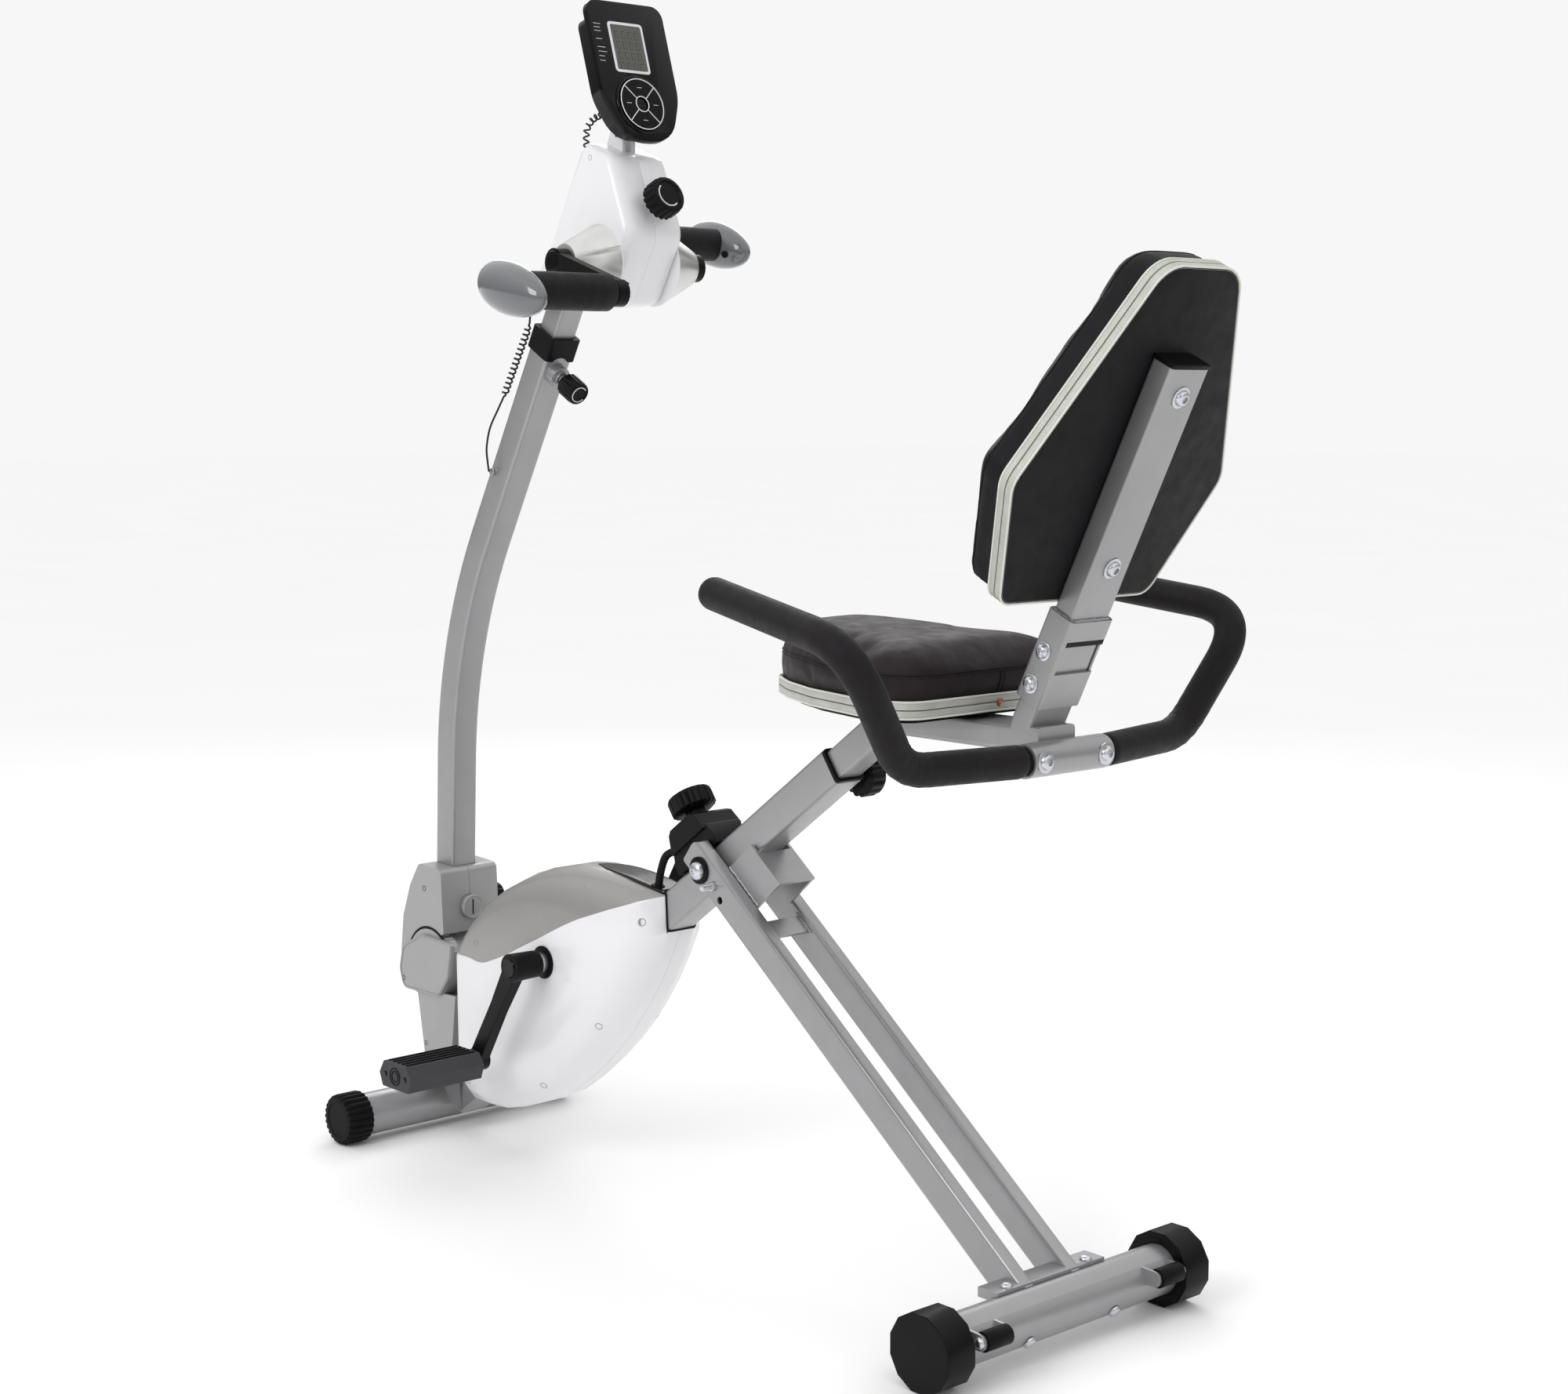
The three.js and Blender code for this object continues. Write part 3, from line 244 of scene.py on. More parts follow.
def foam_material(name, colour):
    n = material(name)
    n.put({"Sheen Weight": 0.03, "Sheen Roughness": 0.6, "Specular IOR Level": 0.16,
           "Base Color": n.shades(n.noise(20.0), 0.3, 0.7, colour, 0.85, 1.2)})
    n.gloss(n.noise(90.0), 0.5, 0.66)
    pores = n.bump(n.cells(1900.0), 0.25, 0.0001)
    n.bump(n.noise(420.0, 3.0), 0.15, 0.00015, pores)
    return n.mat


def band_material(name):
    """Silver trim tape: two knurled stripes either side of a sewn centre line, laid out in UV."""
    n = material(name)
    split = n.add("SeparateXYZ", {0: n.coords["UV"]})
    along, across = split.outputs[0], split.outputs[1]
    beads = n.maths("SINE", n.maths("MULTIPLY", along, 2 * pi * 420.0))
    rows = n.maths("SINE", n.maths("MULTIPLY", across, 2 * pi * 7.0))
    knurl = n.maths("MULTIPLY", beads, rows)
    seam = n.maths("ABSOLUTE", n.maths("SUBTRACT", across, 0.5))
    line = n.spread(seam, 0.02, 0.06)
    texture = n.maths("MULTIPLY", knurl, n.spread(seam, 0.40, 0.44, 1.0, 0.0))
    tone = n.maths("ADD", n.maths("MULTIPLY", texture, 0.12),
                   n.maths("MULTIPLY", line, n.spread(n.noise(70.0), 0.3, 0.7, 0.72, 0.9)))
    n.put({"Metallic": 0.25, "Roughness": n.spread(knurl, -1, 1, 0.42, 0.56),
           "Base Color": n.ramp(tone, 0.0, 1.0, (0.12, 0.125, 0.112), (0.60, 0.615, 0.555))})
    n.bump(line, 0.6, 0.0006, n.bump(texture, 0.5, 0.0003))
    return n.mat


# Where the housing turns grey, from front to rear: X and Z in the row's frame, in millimetres.
COLOUR_LINE = [(-426, 231), (-400, 229), (-379, 235), (-304, 268), (-229, 303), (-181, 321),
               (-150, 332), (-114, 344), (-73, 352)]


def housing_material(name, white, grey):
    """White shell whose top is grey above a sweeping line across the side."""
    n = material(name)
    split = n.add("SeparateXYZ", {0: n.coords["Object"]})
    start, end, tall = -0.436, -0.060, 0.4
    curve = n.add("FloatCurve", {"Value": n.spread(split.outputs[0], start, end)})
    knots = [((x * MM - start) / (end - start), z * MM / tall) for x, z in COLOUR_LINE]
    points = curve.mapping.curves[0].points
    points[0].location = (0.0, knots[0][1])
    points[1].location = (1.0, knots[-1][1] + 0.01)
    for along, height in knots:
        if 0.0 < along < 1.0:
            points.new(along, height)
    curve.mapping.update()
    edge = n.maths("MULTIPLY", curve.outputs["Value"], tall)
    above = n.maths("SUBTRACT", split.outputs[2], edge)
    mask = n.spread(above, -0.0003, 0.0003)
    groove = n.spread(n.maths("ABSOLUTE", above), 0.0, 0.0012)
    pale = n.shades(n.noise(9.0), 0.3, 0.7, white, 0.988, 1.012)
    dark = n.shades(n.cells(2600.0), 0.0, 0.8, grey, 0.93, 1.06)
    n.put({"Coat Weight": 0.3, "Coat Roughness": 0.12, "Base Color": n.mix(mask, pale, dark),
           "Roughness": n.spread(mask, 0, 1, 0.3, 0.42),
           "Metallic": n.spread(mask, 0, 1, 0.0, 0.35)})
    n.bump(groove, 0.5, 0.0006, n.bump(n.noise(1100.0), 0.12, 0.00005))
    return n.mat


def head_material(name, white):
    """White moulding whose bearing cones, outside the flat sides, are satin silver."""
    n = material(name)
    split = n.add("SeparateXYZ", {0: n.coords["Object"]})
    mask = n.spread(n.maths("ABSOLUTE", split.outputs[1]), 0.03915, 0.03925)
    pale = n.shades(n.noise(9.0), 0.3, 0.7, white, 0.988, 1.012)
    satin = n.ramp(n.noise(60.0), 0.3, 0.7, (0.60, 0.60, 0.585), (0.66, 0.66, 0.645))
    n.put({"Coat Weight": 0.3, "Coat Roughness": 0.1, "Base Color": n.mix(mask, pale, satin),
           "Metallic": n.spread(mask, 0, 1, 0.0, 0.95)})
    n.gloss(n.noise(38.0), 0.28, 0.33)
    n.bump(n.noise(700.0), 0.06, 0.00005)
    return n.mat


def floor_material():
    n = material("floor_white")
    n.put({"Roughness": 0.65, "Specular IOR Level": 0.2,
           "Base Color": n.ramp(n.noise(1.5, 3.0), 0.3, 0.7, (0.955,) * 3, (0.97,) * 3)})
    return n.mat


def screen_material(name):
    n = material(name)
    tone = n.ramp(n.noise(30.0), 0.3, 0.7, (0.040, 0.041, 0.029), (0.060, 0.061, 0.044))
    n.put({"Roughness": 0.18, "Coat Weight": 0.6, "Base Color": tone})
    n.bump(n.noise(800.0), 0.05, 0.00003)
    return n.mat


M = {}                           # look: (material, the slot its pieces usually have)


def make_materials():
    white = (0.80, 0.79, 0.81)

    def add(slot, **looks):
        M.update({look: (mat, slot) for look, mat in looks.items()})
    add("silver_paint", silver=metallic_paint("silver_paint", (0.330, 0.327, 0.335)))
    add("zinc", zinc=surface("zinc_plate", (0.60, 0.61, 0.64), 0.30, 1.0, 1500, strength=0.08),
        copper=surface("copper_rivet", (0.42, 0.20, 0.13), 0.3, 1.0, vary=0.15))
    add("steel", steel=surface("bare_steel", (0.5, 0.51, 0.52), 0.36, 1.0, 1200, vary=0.1))
    add("white_plastic", head=head_material("head_plastic", white),
        shell=housing_material("housing_plastic", white, (0.30, 0.295, 0.288)),
        print=surface("white_print", (0.72, 0.72, 0.76), 0.45, vary=0.03))
    add("grey_plastic", grey=surface("grey_plastic", (0.36, 0.358, 0.36), 0.4, 0.4, 1500,
                                     vary=0.03, coat=0.2, strength=0.1, wear=0.02))
    add("black_plastic", screen=screen_material("lcd"),
        black=surface("black_plastic", (0.0042, 0.0038, 0.0046), 0.38, depth=0.0001, vary=0.25,
                      specular=0.12),
        gloss=surface("black_gloss", (0.0018, 0.0018, 0.0022), 0.16, vary=0.2, coat=0.1,
                      specular=0.16, strength=0.05),
        smoke=surface("smoked_window", (0.012, 0.008, 0.009), 0.2, vary=0.2, specular=0.2))
    add("rubber", rubber=surface("black_rubber", (0.0042, 0.0038, 0.0044), 0.52, 0, 700, 0.0002,
                                 0.25, strength=0.4, specular=0.11),
        cord=surface("lead_jacket", (0.007, 0.007, 0.008), 0.4, vary=0.2, specular=0.4))
    add("vinyl", vinyl=vinyl_material("seat_vinyl", (0.019, 0.0135, 0.0150), 0.30),
        vinyl_side=vinyl_material("side_vinyl", (0.0062, 0.0052, 0.0066), 0.12),
        band=band_material("silver_band"),
        piping=surface("pale_piping", (0.66, 0.68, 0.62), 0.5, 0, 600, vary=0.05),
        thread=surface("seam_thread", (0.006, 0.0055, 0.006), 0.7, vary=0.2, specular=0.2))
    add("foam", foam=foam_material("grip_foam", (0.0075, 0.0060, 0.0072)),
        egg=surface("grey_gloss", (0.13, 0.133, 0.142), 0.14, vary=0.05, coat=0.8, strength=0.05,
                    wear=0.02))


# ---- Mesh helpers ----
def mesh_object(name, points, faces):
    mesh = bpy.data.meshes.new(name)
    mesh.from_pydata([tuple(p) for p in points], [], faces)
    mesh.update()
    return new_object(name, mesh)


def bevel(obj, width, degrees=32.0):
    mod = obj.modifiers.new("edge", "BEVEL")
    mod.width = width
    mod.segments = 2
    mod.limit_method = "ANGLE"
    mod.angle_limit = radians(degrees)


def thicken(obj, thickness):
    mod = obj.modifiers.new("thick", "SOLIDIFY")
    mod.thickness = thickness
    mod.offset = 0


def finish_piece(obj, look, body, degrees=32.0, width=0.0, slot=None):
    obj.data.materials.append(M[look][0])
    for poly in obj.data.polygons:
        poly.use_smooth = True
    obj.data.set_sharp_from_angle(angle=radians(degrees))
    if width:
        bevel(obj, width)
    slot or M[look][1]
    if body:
        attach(obj, body)
    return obj


def closed_mesh(name, points, faces):
    """A mesh whose doubled points are merged and whose faces all point outwards."""
    obj = mesh_object(name, points, faces)
    bm = bmesh.new()
    bm.from_mesh(obj.data)
    bmesh.ops.remove_doubles(bm, verts=bm.verts, dist=1e-7)
    bmesh.ops.recalc_face_normals(bm, faces=bm.faces)
    bm.to_mesh(obj.data)
    bm.free()
    return obj


def tree_of(obj):
    return BVHTree.FromObject(obj, bpy.context.evaluated_depsgraph_get())


def basis(axis):
    n = Vector(axis).normalized()
    u = (REARWARD if abs(n.dot(UP)) > 0.98 else UP).cross(n).normalized()
    return u, n.cross(u), n


def ring_quads(rings, sides):
    """Quads between rings of points, each ring closed on itself."""
    return [(k * sides + i, k * sides + (i + 1) % sides, (k + 1) * sides + (i + 1) % sides,
             (k + 1) * sides + i) for k in range(rings - 1) for i in range(sides)]


def lathe(name, profile, origin, axis, sides, ribs=0, rib_depth=0.0, ribbed=(0, 0)):
    """profile is [(radius, height)] in millimetres along axis from origin, closed at both ends."""
    u, v, n = basis(axis)
    points = []
    for k, (r, h) in enumerate(profile):
        depth = rib_depth if ribbed[0] <= k <= ribbed[1] else 0.0
        for i in range(sides):
            a = 2 * pi * i / sides
            reach = r - depth * (0.5 - 0.5 * cos(ribs * a)) ** 2
            points.append(origin + (u * cos(a) + v * sin(a)) * (reach * MM) + n * (h * MM))
    faces = ring_quads(len(profile), sides) + [
        tuple(reversed(range(sides))), tuple(range(len(points) - sides, len(points)))]
    return closed_mesh(name, points, faces)


def lathe_piece(name, profile, origin, axis, look, body, sides=32, slot=None):
    return finish_piece(lathe(name, profile, origin, axis, sides), look, body, slot=slot)


def tube(name, path, radius, sides=12, closed=False):
    """A round tube of one radius or a list of them, whose frame never twists along the path."""
    path = [Vector(p) for p in path]
    count = len(path)
    radii = radius if isinstance(radius, list) else [radius] * count
    tangents = []
    for i in range(count):
        a = path[(i - 1) % count] if closed or i > 0 else path[i]
        b = path[(i + 1) % count] if closed or i < count - 1 else path[i]
        tangents.append((b - a).normalized())
    u = basis(tangents[0])[0]
    points, faces = [], []
    for p, t, r in zip(path, tangents, radii):
        u = (u - t * u.dot(t)).normalized()
        v = t.cross(u)
        for k in range(sides):
            a = 2 * pi * k / sides
            points.append(p + (u * cos(a) + v * sin(a)) * r)
    for i in range(count if closed else count - 1):
        j = (i + 1) % count
        for k in range(sides):
            m = (k + 1) % sides
            faces.append((i * sides + k, j * sides + k, j * sides + m, i * sides + m))
    if not closed:
        faces.append(tuple(range(sides)))
        faces.append(tuple((count - 1) * sides + k for k in reversed(range(sides))))
    return closed_mesh(name, points, faces)


def tube_piece(name, path, radius, look, body, sides=8, closed=False):
    return finish_piece(tube(name, path, radius * MM, sides, closed), look, body, 60)


def rounded(corners, steps=6):
    """Corners [(a, b, radius)] to points, with arcs at the corners."""
    out = []
    for i, corner in enumerate(corners):
        p = Vector(corner[:2])
        r = corner[2] if len(corner) > 2 else 0
        if not r:
            out.append(tuple(p))
            continue
        a = (Vector(corners[i - 1][:2]) - p).normalized()
        b = (Vector(corners[(i + 1) % len(corners)][:2]) - p).normalized()
        half = a.angle(b) / 2
        reach = r / tan(half)
        centre = p + (a + b).normalized() * (r / sin(half))
        start = p + a * reach - centre
        end = p + b * reach - centre
        turn = start.angle_signed(end)
        for k in range(steps + 1):
            c, s = cos(-turn * k / steps), sin(-turn * k / steps)
            q = centre + Vector((start.x * c - start.y * s, start.x * s + start.y * c))
            out.append(tuple(q))
    return out


def resample(points, spacing, closed=True):
    """Points at even spacing along a closed or open outline."""
    loop = [Vector(p) for p in points] + ([Vector(points[0])] if closed else [])
    lengths = [0.0]
    for a, b in zip(loop, loop[1:]):
        lengths.append(lengths[-1] + (b - a).length)
    count = max(4, round(lengths[-1] / spacing))
    out, k = [], 0
    for i in range(count + (0 if closed else 1)):
        target = lengths[-1] * i / count
        while k < len(lengths) - 2 and lengths[k + 1] < target:
            k += 1
        f = (target - lengths[k]) / max(lengths[k + 1] - lengths[k], 1e-9)
        out.append(loop[k].lerp(loop[k + 1], f))
    return out


def prism(name, outline, place, plane, low, high):
    """An outline in millimetres in one plane of a Place, thick along the third axis."""
    def spot(a, b, c):
        return place.at(*{"xy": (a, b, c), "yz": (c, a, b)}[plane])
    count = len(outline)
    points = [spot(a, b, low) for a, b in outline] + [spot(a, b, high) for a, b in outline]
    faces = [(i, (i + 1) % count, count + (i + 1) % count, count + i) for i in range(count)]
    faces += [tuple(range(count)), tuple(reversed(range(count, 2 * count)))]
    return closed_mesh(name, points, faces)


def bezier_bends(points, radius, steps):
    """Straight runs joined by quadratic bends, as the CAD bars are drawn."""
    out = [points[0]]
    for a, b, c in zip(points, points[1:], points[2:]):
        back, on = (a - b).normalized(), (c - b).normalized()
        reach = radius / tan(back.angle(on) / 2)
        start, end = b + back * reach, b + on * reach
        for k in range(steps + 1):
            t = k / steps
            out.append(start * (1 - t) ** 2 + b * 2 * t * (1 - t) + end * t * t)
    return out + [points[-1]]


# ---- Leads ----
def length_of(path):
    return sum((b - a).length for a, b in zip(path, path[1:]))


def smooth_path(points, count):
    """A Catmull-Rom run through points."""
    pts = [points[0] * 2 - points[1]] + points + [points[-1] * 2 - points[-2]]
    out = []
    for a, b, c, d in zip(pts, pts[1:], pts[2:], pts[3:]):
        for k in range(count):
            t = k / count
            out.append(0.5 * ((2 * b) + (c - a) * t + (2 * a - 5 * b + 4 * c - d) * t * t
                              + (3 * b - a - 3 * c + d) * t ** 3))
    return out + [points[-1]]


def helix(path, radius, turns, steps=14):
    """A coil of that many turns round a centreline, its radius easing in and out at the ends."""
    line = resample(path, length_of(path) / (turns * steps), closed=False)
    u = basis(line[1] - line[0])[0]
    last = len(line) - 1
    out = []
    for i, p in enumerate(line):
        t = (line[min(i + 1, last)] - line[max(i - 1, 0)]).normalized()
        u = (u - t * u.dot(t)).normalized()
        v = t.cross(u)
        a = 2 * pi * i / steps
        ease = min(1.0, i / steps, (last - i) / steps)
        out.append(p + (u * cos(a) + v * sin(a)) * radius * ease)
    return out


def make_lead(name, path, diameter, nodes, start, end):
    """A hanging lead in place of its CAD stand-ins."""
    lead = tube_piece(name, path, diameter / 2, "cord", None)
    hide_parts(*nodes)
    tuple(path[0])
    length_of(path)
    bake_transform(lead)
    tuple(start)
    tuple(end)


def make_leads():
    coil_top, coil_end = at(-352, -18, 957), at(-403, -18, 877)
    top = smooth_path([at(-321, -14, 1001), at(-335, -14.6, 999), at(-347, -15.6, 988),
                       at(-351, -17, 972), coil_top], 6)
    coil = helix([coil_top, coil_end], 3.3 * MM, 15)
    tail = smooth_path([coil_end, at(-410, -21, 863), at(-419, -26, 842), at(-424, -27.5, 820),
                        at(-424, -26.5, 804), at(-424, -24.8, 792.5)], 6)
    make_lead("mast_lead", top[:-1] + coil[1:-1] + tail, 2.3,
              ["mast_lead_top", "mast_lead_coil", "mast_lead_tail"],
              at(-352, -18, 955), at(-403, -18, 879))
    rise = smooth_path([at(-240, -22, 1138), at(-240.5, -22, 1150), at(-238, -22, 1163),
                        at(-226, -22, 1172), at(-207, -22, 1175)], 8)
    make_lead("console_lead_coil", helix(rise, 3.0 * MM, 8), 2.0, ["console_lead"],
              at(-239, -22, 1160), at(-212, -22, 1175))


# ---- CAD nodes keep their shape and get a finish ----
def sharp_by_angle(degrees):
    """Geometry nodes that smooth a mesh and keep edges sharper than an angle crisp."""
    name = f"sharp_{degrees}"
    if name in bpy.data.node_groups:
        return bpy.data.node_groups[name]
    group = bpy.data.node_groups.new(name, "GeometryNodeTree")
    for way in ("INPUT", "OUTPUT"):
        group.interface.new_socket("Geometry", in_out=way, socket_type="NodeSocketGeometry")
    start, angle, test, faces, shade, end = (group.nodes.new(kind) for kind in (
        "NodeGroupInput", "GeometryNodeInputMeshEdgeAngle", "FunctionNodeCompare",
        "GeometryNodeSetShadeSmooth", "GeometryNodeSetMeshNormal", "NodeGroupOutput"))
    test.data_type, test.operation = "FLOAT", "GREATER_THAN"
    test.inputs[1].default_value = radians(degrees)
    shade.mode = "SHARPNESS"
    shade.inputs["Remove Custom"].default_value = True
    link = group.links.new
    link(start.outputs[0], faces.inputs["Geometry"])
    link(faces.outputs[0], shade.inputs["Mesh"])
    link(angle.outputs["Unsigned Angle"], test.inputs[0])
    link(test.outputs[0], shade.inputs["Edge Sharpness"])
    link(shade.outputs[0], end.inputs[0])
    return group


# Look, bevel in millimetres, the angle above which an edge stays crisp, and the nodes.
FINISHES = [
    ("silver", 0.8, 50, "main_tube front_stabilizer leg_frame rear_stabilizer seat_frame "
     "back_post mast_tube inner_post"),
    ("zinc", 0.4, 28, "lock_pin"),
    ("steel", 0.4, 28, "crank_axle flywheel arm_axle"),
    ("head", 3.0, 50, "head_left head_right"),
    ("shell", 1.5, 50, "housing_left housing_right"),
    ("grey", 2.2, 40, "base_cover_left base_cover_right mast_cover_left mast_cover_right"),
    ("black", 1.0, 28, "sleeve_bushing crank_left crank_right tension_box rear_cap_left "
     "rear_cap_right seat_board mast_collar arm_crank_left arm_crank_right"),
    ("black", 0.4, 28, "key_top key_left key_bottom key_right"),
    ("gloss", 1.5, 40, "console_case"),
    ("rubber", 0.4, 28, "drive_belt roller_left roller_right"),
    ("vinyl_side", 0.4, 28, "backrest_board"),
]


def dress_cad():
    for look, width, angle, names in FINISHES:
        for name in names.split():
            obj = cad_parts[name]
            for slot in obj.material_slots:
                slot.material = M[look][0]
            weld = obj.modifiers.new("weld", "WELD")
            weld.merge_threshold = 0.00001
            bevel(obj, width * MM, angle + 8)
            obj.modifiers.new("shade", "NODES").node_group = sharp_by_angle(angle)
            if look in ("silver", "black", "grey"):
                obj.modifiers.new("even", "WEIGHTED_NORMAL").keep_sharp = True


# ---- Upholstery ----
# Pad outlines: two coordinates and a corner radius, in millimetres.
SEAT_OUTLINE = [(342, -105, 24), (342, 105, 24), (300, 121, 40), (200, 98, 80), (140, 73, 60),
                (84, 38, 34), (84, -38, 34), (140, -73, 60), (200, -98, 80), (300, -121, 40)]
SEAT_BASE = 586.8
BACK_OUTLINE = [(98, 128, 16), (-98, 128, 16), (-139, 246, 24), (-48, 448, 32), (48, 448, 32),
                (139, 246, 24)]
BACK_FACE = -34.6                # where the back cushion starts, ahead of the post's rear face
SWELL = 0.005                    # the furthest a cushion's surface moves when it is swollen


def inset(points, amount):
    """Moves a closed outline inwards by an amount, along its normals."""
    following = points[1:] + points[:1]
    area = sum(p[0] * q[1] - q[0] * p[1] for p, q in zip(points, following))
    sign = 1 if area > 0 else -1
    out = []
    for i, q in enumerate(following):
        t = (Vector(q) - Vector(points[i - 1])).normalized()
        out.append(Vector(points[i]) + Vector((-t.y, t.x)) * amount * sign)
    return out


def soft_pad(name, outline, spot, layers, crown):
    """A closed pad from stacked rings, swollen by a cloth simulation, flat at its base."""
    loop = resample(rounded(outline, 8), 9.0)
    centre = sum(loop, Vector((0, 0))) / len(loop)
    rings = [(inset(loop, inward), height) for inward, height in layers]
    top, height = rings[-1]
    for shrink in (0.75, 0.5, 0.25):
        rings.append(([centre + (p - centre) * shrink for p in top],
                      height + crown * (1 - shrink ** 2)))
    points = [spot(p.x, p.y, h) for ring, h in rings for p in ring]
    points.append(spot(centre.x, centre.y, height + crown))
    n, peak = len(loop), len(points) - 1
    quads, sides = ring_quads(len(rings), n), (len(layers) - 1) * n
    faces = quads[:sides] + [tuple(reversed(range(n)))] + quads[sides:]
    faces += [(peak - n + i, peak - n + (i + 1) % n, peak) for i in range(n)]
    obj = closed_mesh(name, points, faces)
    remesh = obj.modifiers.new("remesh", "REMESH")
    remesh.mode = "VOXEL"
    remesh.voxel_size = 5 * MM
    apply(obj)
    swell(obj, spot(0, 0, 0), (spot(0, 0, 1) - spot(0, 0, 0)).normalized())
    soften = obj.modifiers.new("soften", "SMOOTH")
    soften.factor = 0.5
    soften.iterations = 4
    divide = obj.modifiers.new("divide", "SUBSURF")
    divide.levels = divide.render_levels = 1
    apply(obj)
    return obj


def apply(obj):
    depsgraph = bpy.context.evaluated_depsgraph_get()
    mesh = bpy.data.meshes.new_from_object(obj.evaluated_get(depsgraph))
    obj.modifiers.clear()
    obj.data = mesh


def swell(obj, base, up):
    """Twenty frames of pressurised cloth, with each point's movement capped and its base kept."""
    firm = 0.014                 # the swelling fades out over this height above the base
    rest = [v.co.copy() for v in obj.data.vertices]
    settings = obj.modifiers.new("cloth", "CLOTH").settings
    settings.use_pressure = True
    settings.uniform_pressure_force = 4.0
    settings.effector_weights.gravity = 0.0
    settings.quality = 5
    settings.tension_stiffness = settings.compression_stiffness = 25
    settings.bending_stiffness = 2.0
    scene = bpy.context.scene
    for f in range(1, 21):
        scene.frame_set(f)
    apply(obj)
    scene.frame_set(1)
    for v, was in zip(obj.data.vertices, rest):
        move = v.co - was
        if move.length > SWELL:
            move *= SWELL / move.length
        height = (was - base).dot(up)
        v.co = was + move * min(1.0, max(0.0, height / firm))


def band(name, outer, spot, low, high):
    """Trim tape round a pad's edge, with a full cross-section and UVs along it."""
    inner = inset(outer, 1.0)
    section = [(2.2, 0.0), (0.4, 0.05), (0.0, 0.14), (-0.3, 0.30), (-0.15, 0.46), (0.5, 0.5),
               (-0.15, 0.54), (-0.3, 0.70), (0.0, 0.86), (0.4, 0.95), (2.2, 1.0)]
    n, m = len(outer), len(section)
    points, faces, coords = [], [], []
    travel = 0.0
    for i in range(n):
        if i:
            travel += (outer[i] - outer[i - 1]).length * MM
        for depth, v in section:
            p = outer[i] + (inner[i] - outer[i]) * depth
            points.append(spot(p.x, p.y, low + (high - low) * v))
            coords.append((travel, v))
    total = travel + (outer[0] - outer[-1]).length * MM
    for i in range(n):
        j = (i + 1) % n
        for k in range(m - 1):
            faces.append((i * m + k, j * m + k, j * m + k + 1, i * m + k + 1))
    obj = mesh_object(name, points, faces)
    layer = obj.data.uv_layers.new(name="UVMap")
    for poly in obj.data.polygons:
        wraps = any(vertex >= (n - 1) * m for vertex in poly.vertices)
        for k, vertex in zip(poly.loop_indices, poly.vertices):
            u, v = coords[vertex]
            layer.data[k].uv = (total if wraps and vertex < m else u, v)
    thicken(obj, 0.8 * MM)
    finish_piece(obj, "band", "seat", 60)


def strokes(name, paths, radius, look, body, sides=6, slot=None):
    """One mesh of several thin round lines: threads, printed lines or weld beads."""
    points, faces = [], []
    for path in paths:
        piece = tube("stroke", path, radius * MM, sides)
        mesh, base = piece.data, len(points)
        points += [v.co.copy() for v in mesh.vertices]
        faces += [tuple(base + k for k in poly.vertices) for poly in mesh.polygons]
        bpy.data.objects.remove(piece)
        bpy.data.meshes.remove(mesh)
    finish_piece(mesh_object(name, points, faces), look, body, 60, slot=slot)


def rays_round(outline, spot, height):
    """Rays towards a pad from all round it, at one height."""
    ring = resample(rounded(outline, 10), 6.0)
    centre = sum(ring, Vector((0, 0))) / len(ring)
    return [(spot(*(centre + (p - centre) * 1.5), height), spot(centre.x, centre.y, height))
            for p in ring]


def hits_on(obj, rays, offset):
    """Where rays meet a piece, lifted off it a little; offset is in millimetres."""
    tree = tree_of(obj)
    path = []
    for start, aim in rays:
        hit, normal, _, _ = tree.ray_cast(start, (aim - start).normalized())
        if hit:
            path.append(hit + normal * (offset * MM))
    return path


def trim(pad, node, name, outline, spot, low, high, seam, thickness):
    """Hides a cushion's CAD node and adds silver tape piped along both edges, and a seam."""
    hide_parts(node)
    edge = inset(resample(rounded(outline, 10), 5.0), -1.0)
    band(f"{name}_band", edge, spot, low, high)
    for word, height in (("low", low), ("high", high)):
        tube_piece(f"{name}_piping_{word}", [spot(p.x, p.y, height) for p in edge], 1.05,
                   "piping", "seat", closed=True)
    rim = hits_on(pad, rays_round(outline, spot, seam), 0.2)
    tube_piece(f"{name}_seam", rim, thickness, "thread", "seat", 6, closed=True)


def make_seat():
    def spot(a, b, h):           # the cushion is a little taller towards its front
        rise = 0.985 + 0.075 * cos(pi * min(1.0, max(0.0, (a - 110) / 170)))
        return at(a, b, SEAT_BASE + (h * rise if h > 20 else h))
    layers = [(3.0, 0.0), (1.5, 4.0), (0.5, 15.0), (0.0, 28.0), (0.8, 40.0), (5.0, 51.0),
              (13.0, 60.0), (26.0, 66.0)]
    pad = soft_pad("seat_pad", SEAT_OUTLINE, spot, layers, 5.5)
    finish_piece(pad, "vinyl", "seat", 60)
    trim(pad, "seat_cushion", "seat", SEAT_OUTLINE, spot, 0.8, 16.0, 43.0, 0.9)
    line = hits_on(pad, rays_round(SEAT_OUTLINE, spot, 40.0), 0.1)
    thread, gap = 2.6, 1.5
    line = resample(line, thread * MM / 3, closed=False)
    step = 3 + round(gap / (thread / 3))
    strokes("seat_stitches", [line[k:k + 4] for k in range(0, len(line) - 4, step)], 0.35,
            "thread", "seat", 5)
    for k, (b, thickness) in enumerate(((9, 0.8), (14, 0.4))):
        rays = [(spot(400, b, 17.0 + 2.0 * i), spot(300, b, 17.0 + 2.0 * i)) for i in range(13)]
        tube_piece(f"seat_back_seam_{k}", hits_on(pad, rays, 0.1), thickness, "thread", "seat", 6)
    lathe_piece("seat_rivet", [(4.5, -1), (4.5, 0.6), (3, 1.6), (0, 1.8)], at(343.2, 8, 595),
                REARWARD, "copper", "seat", 20)


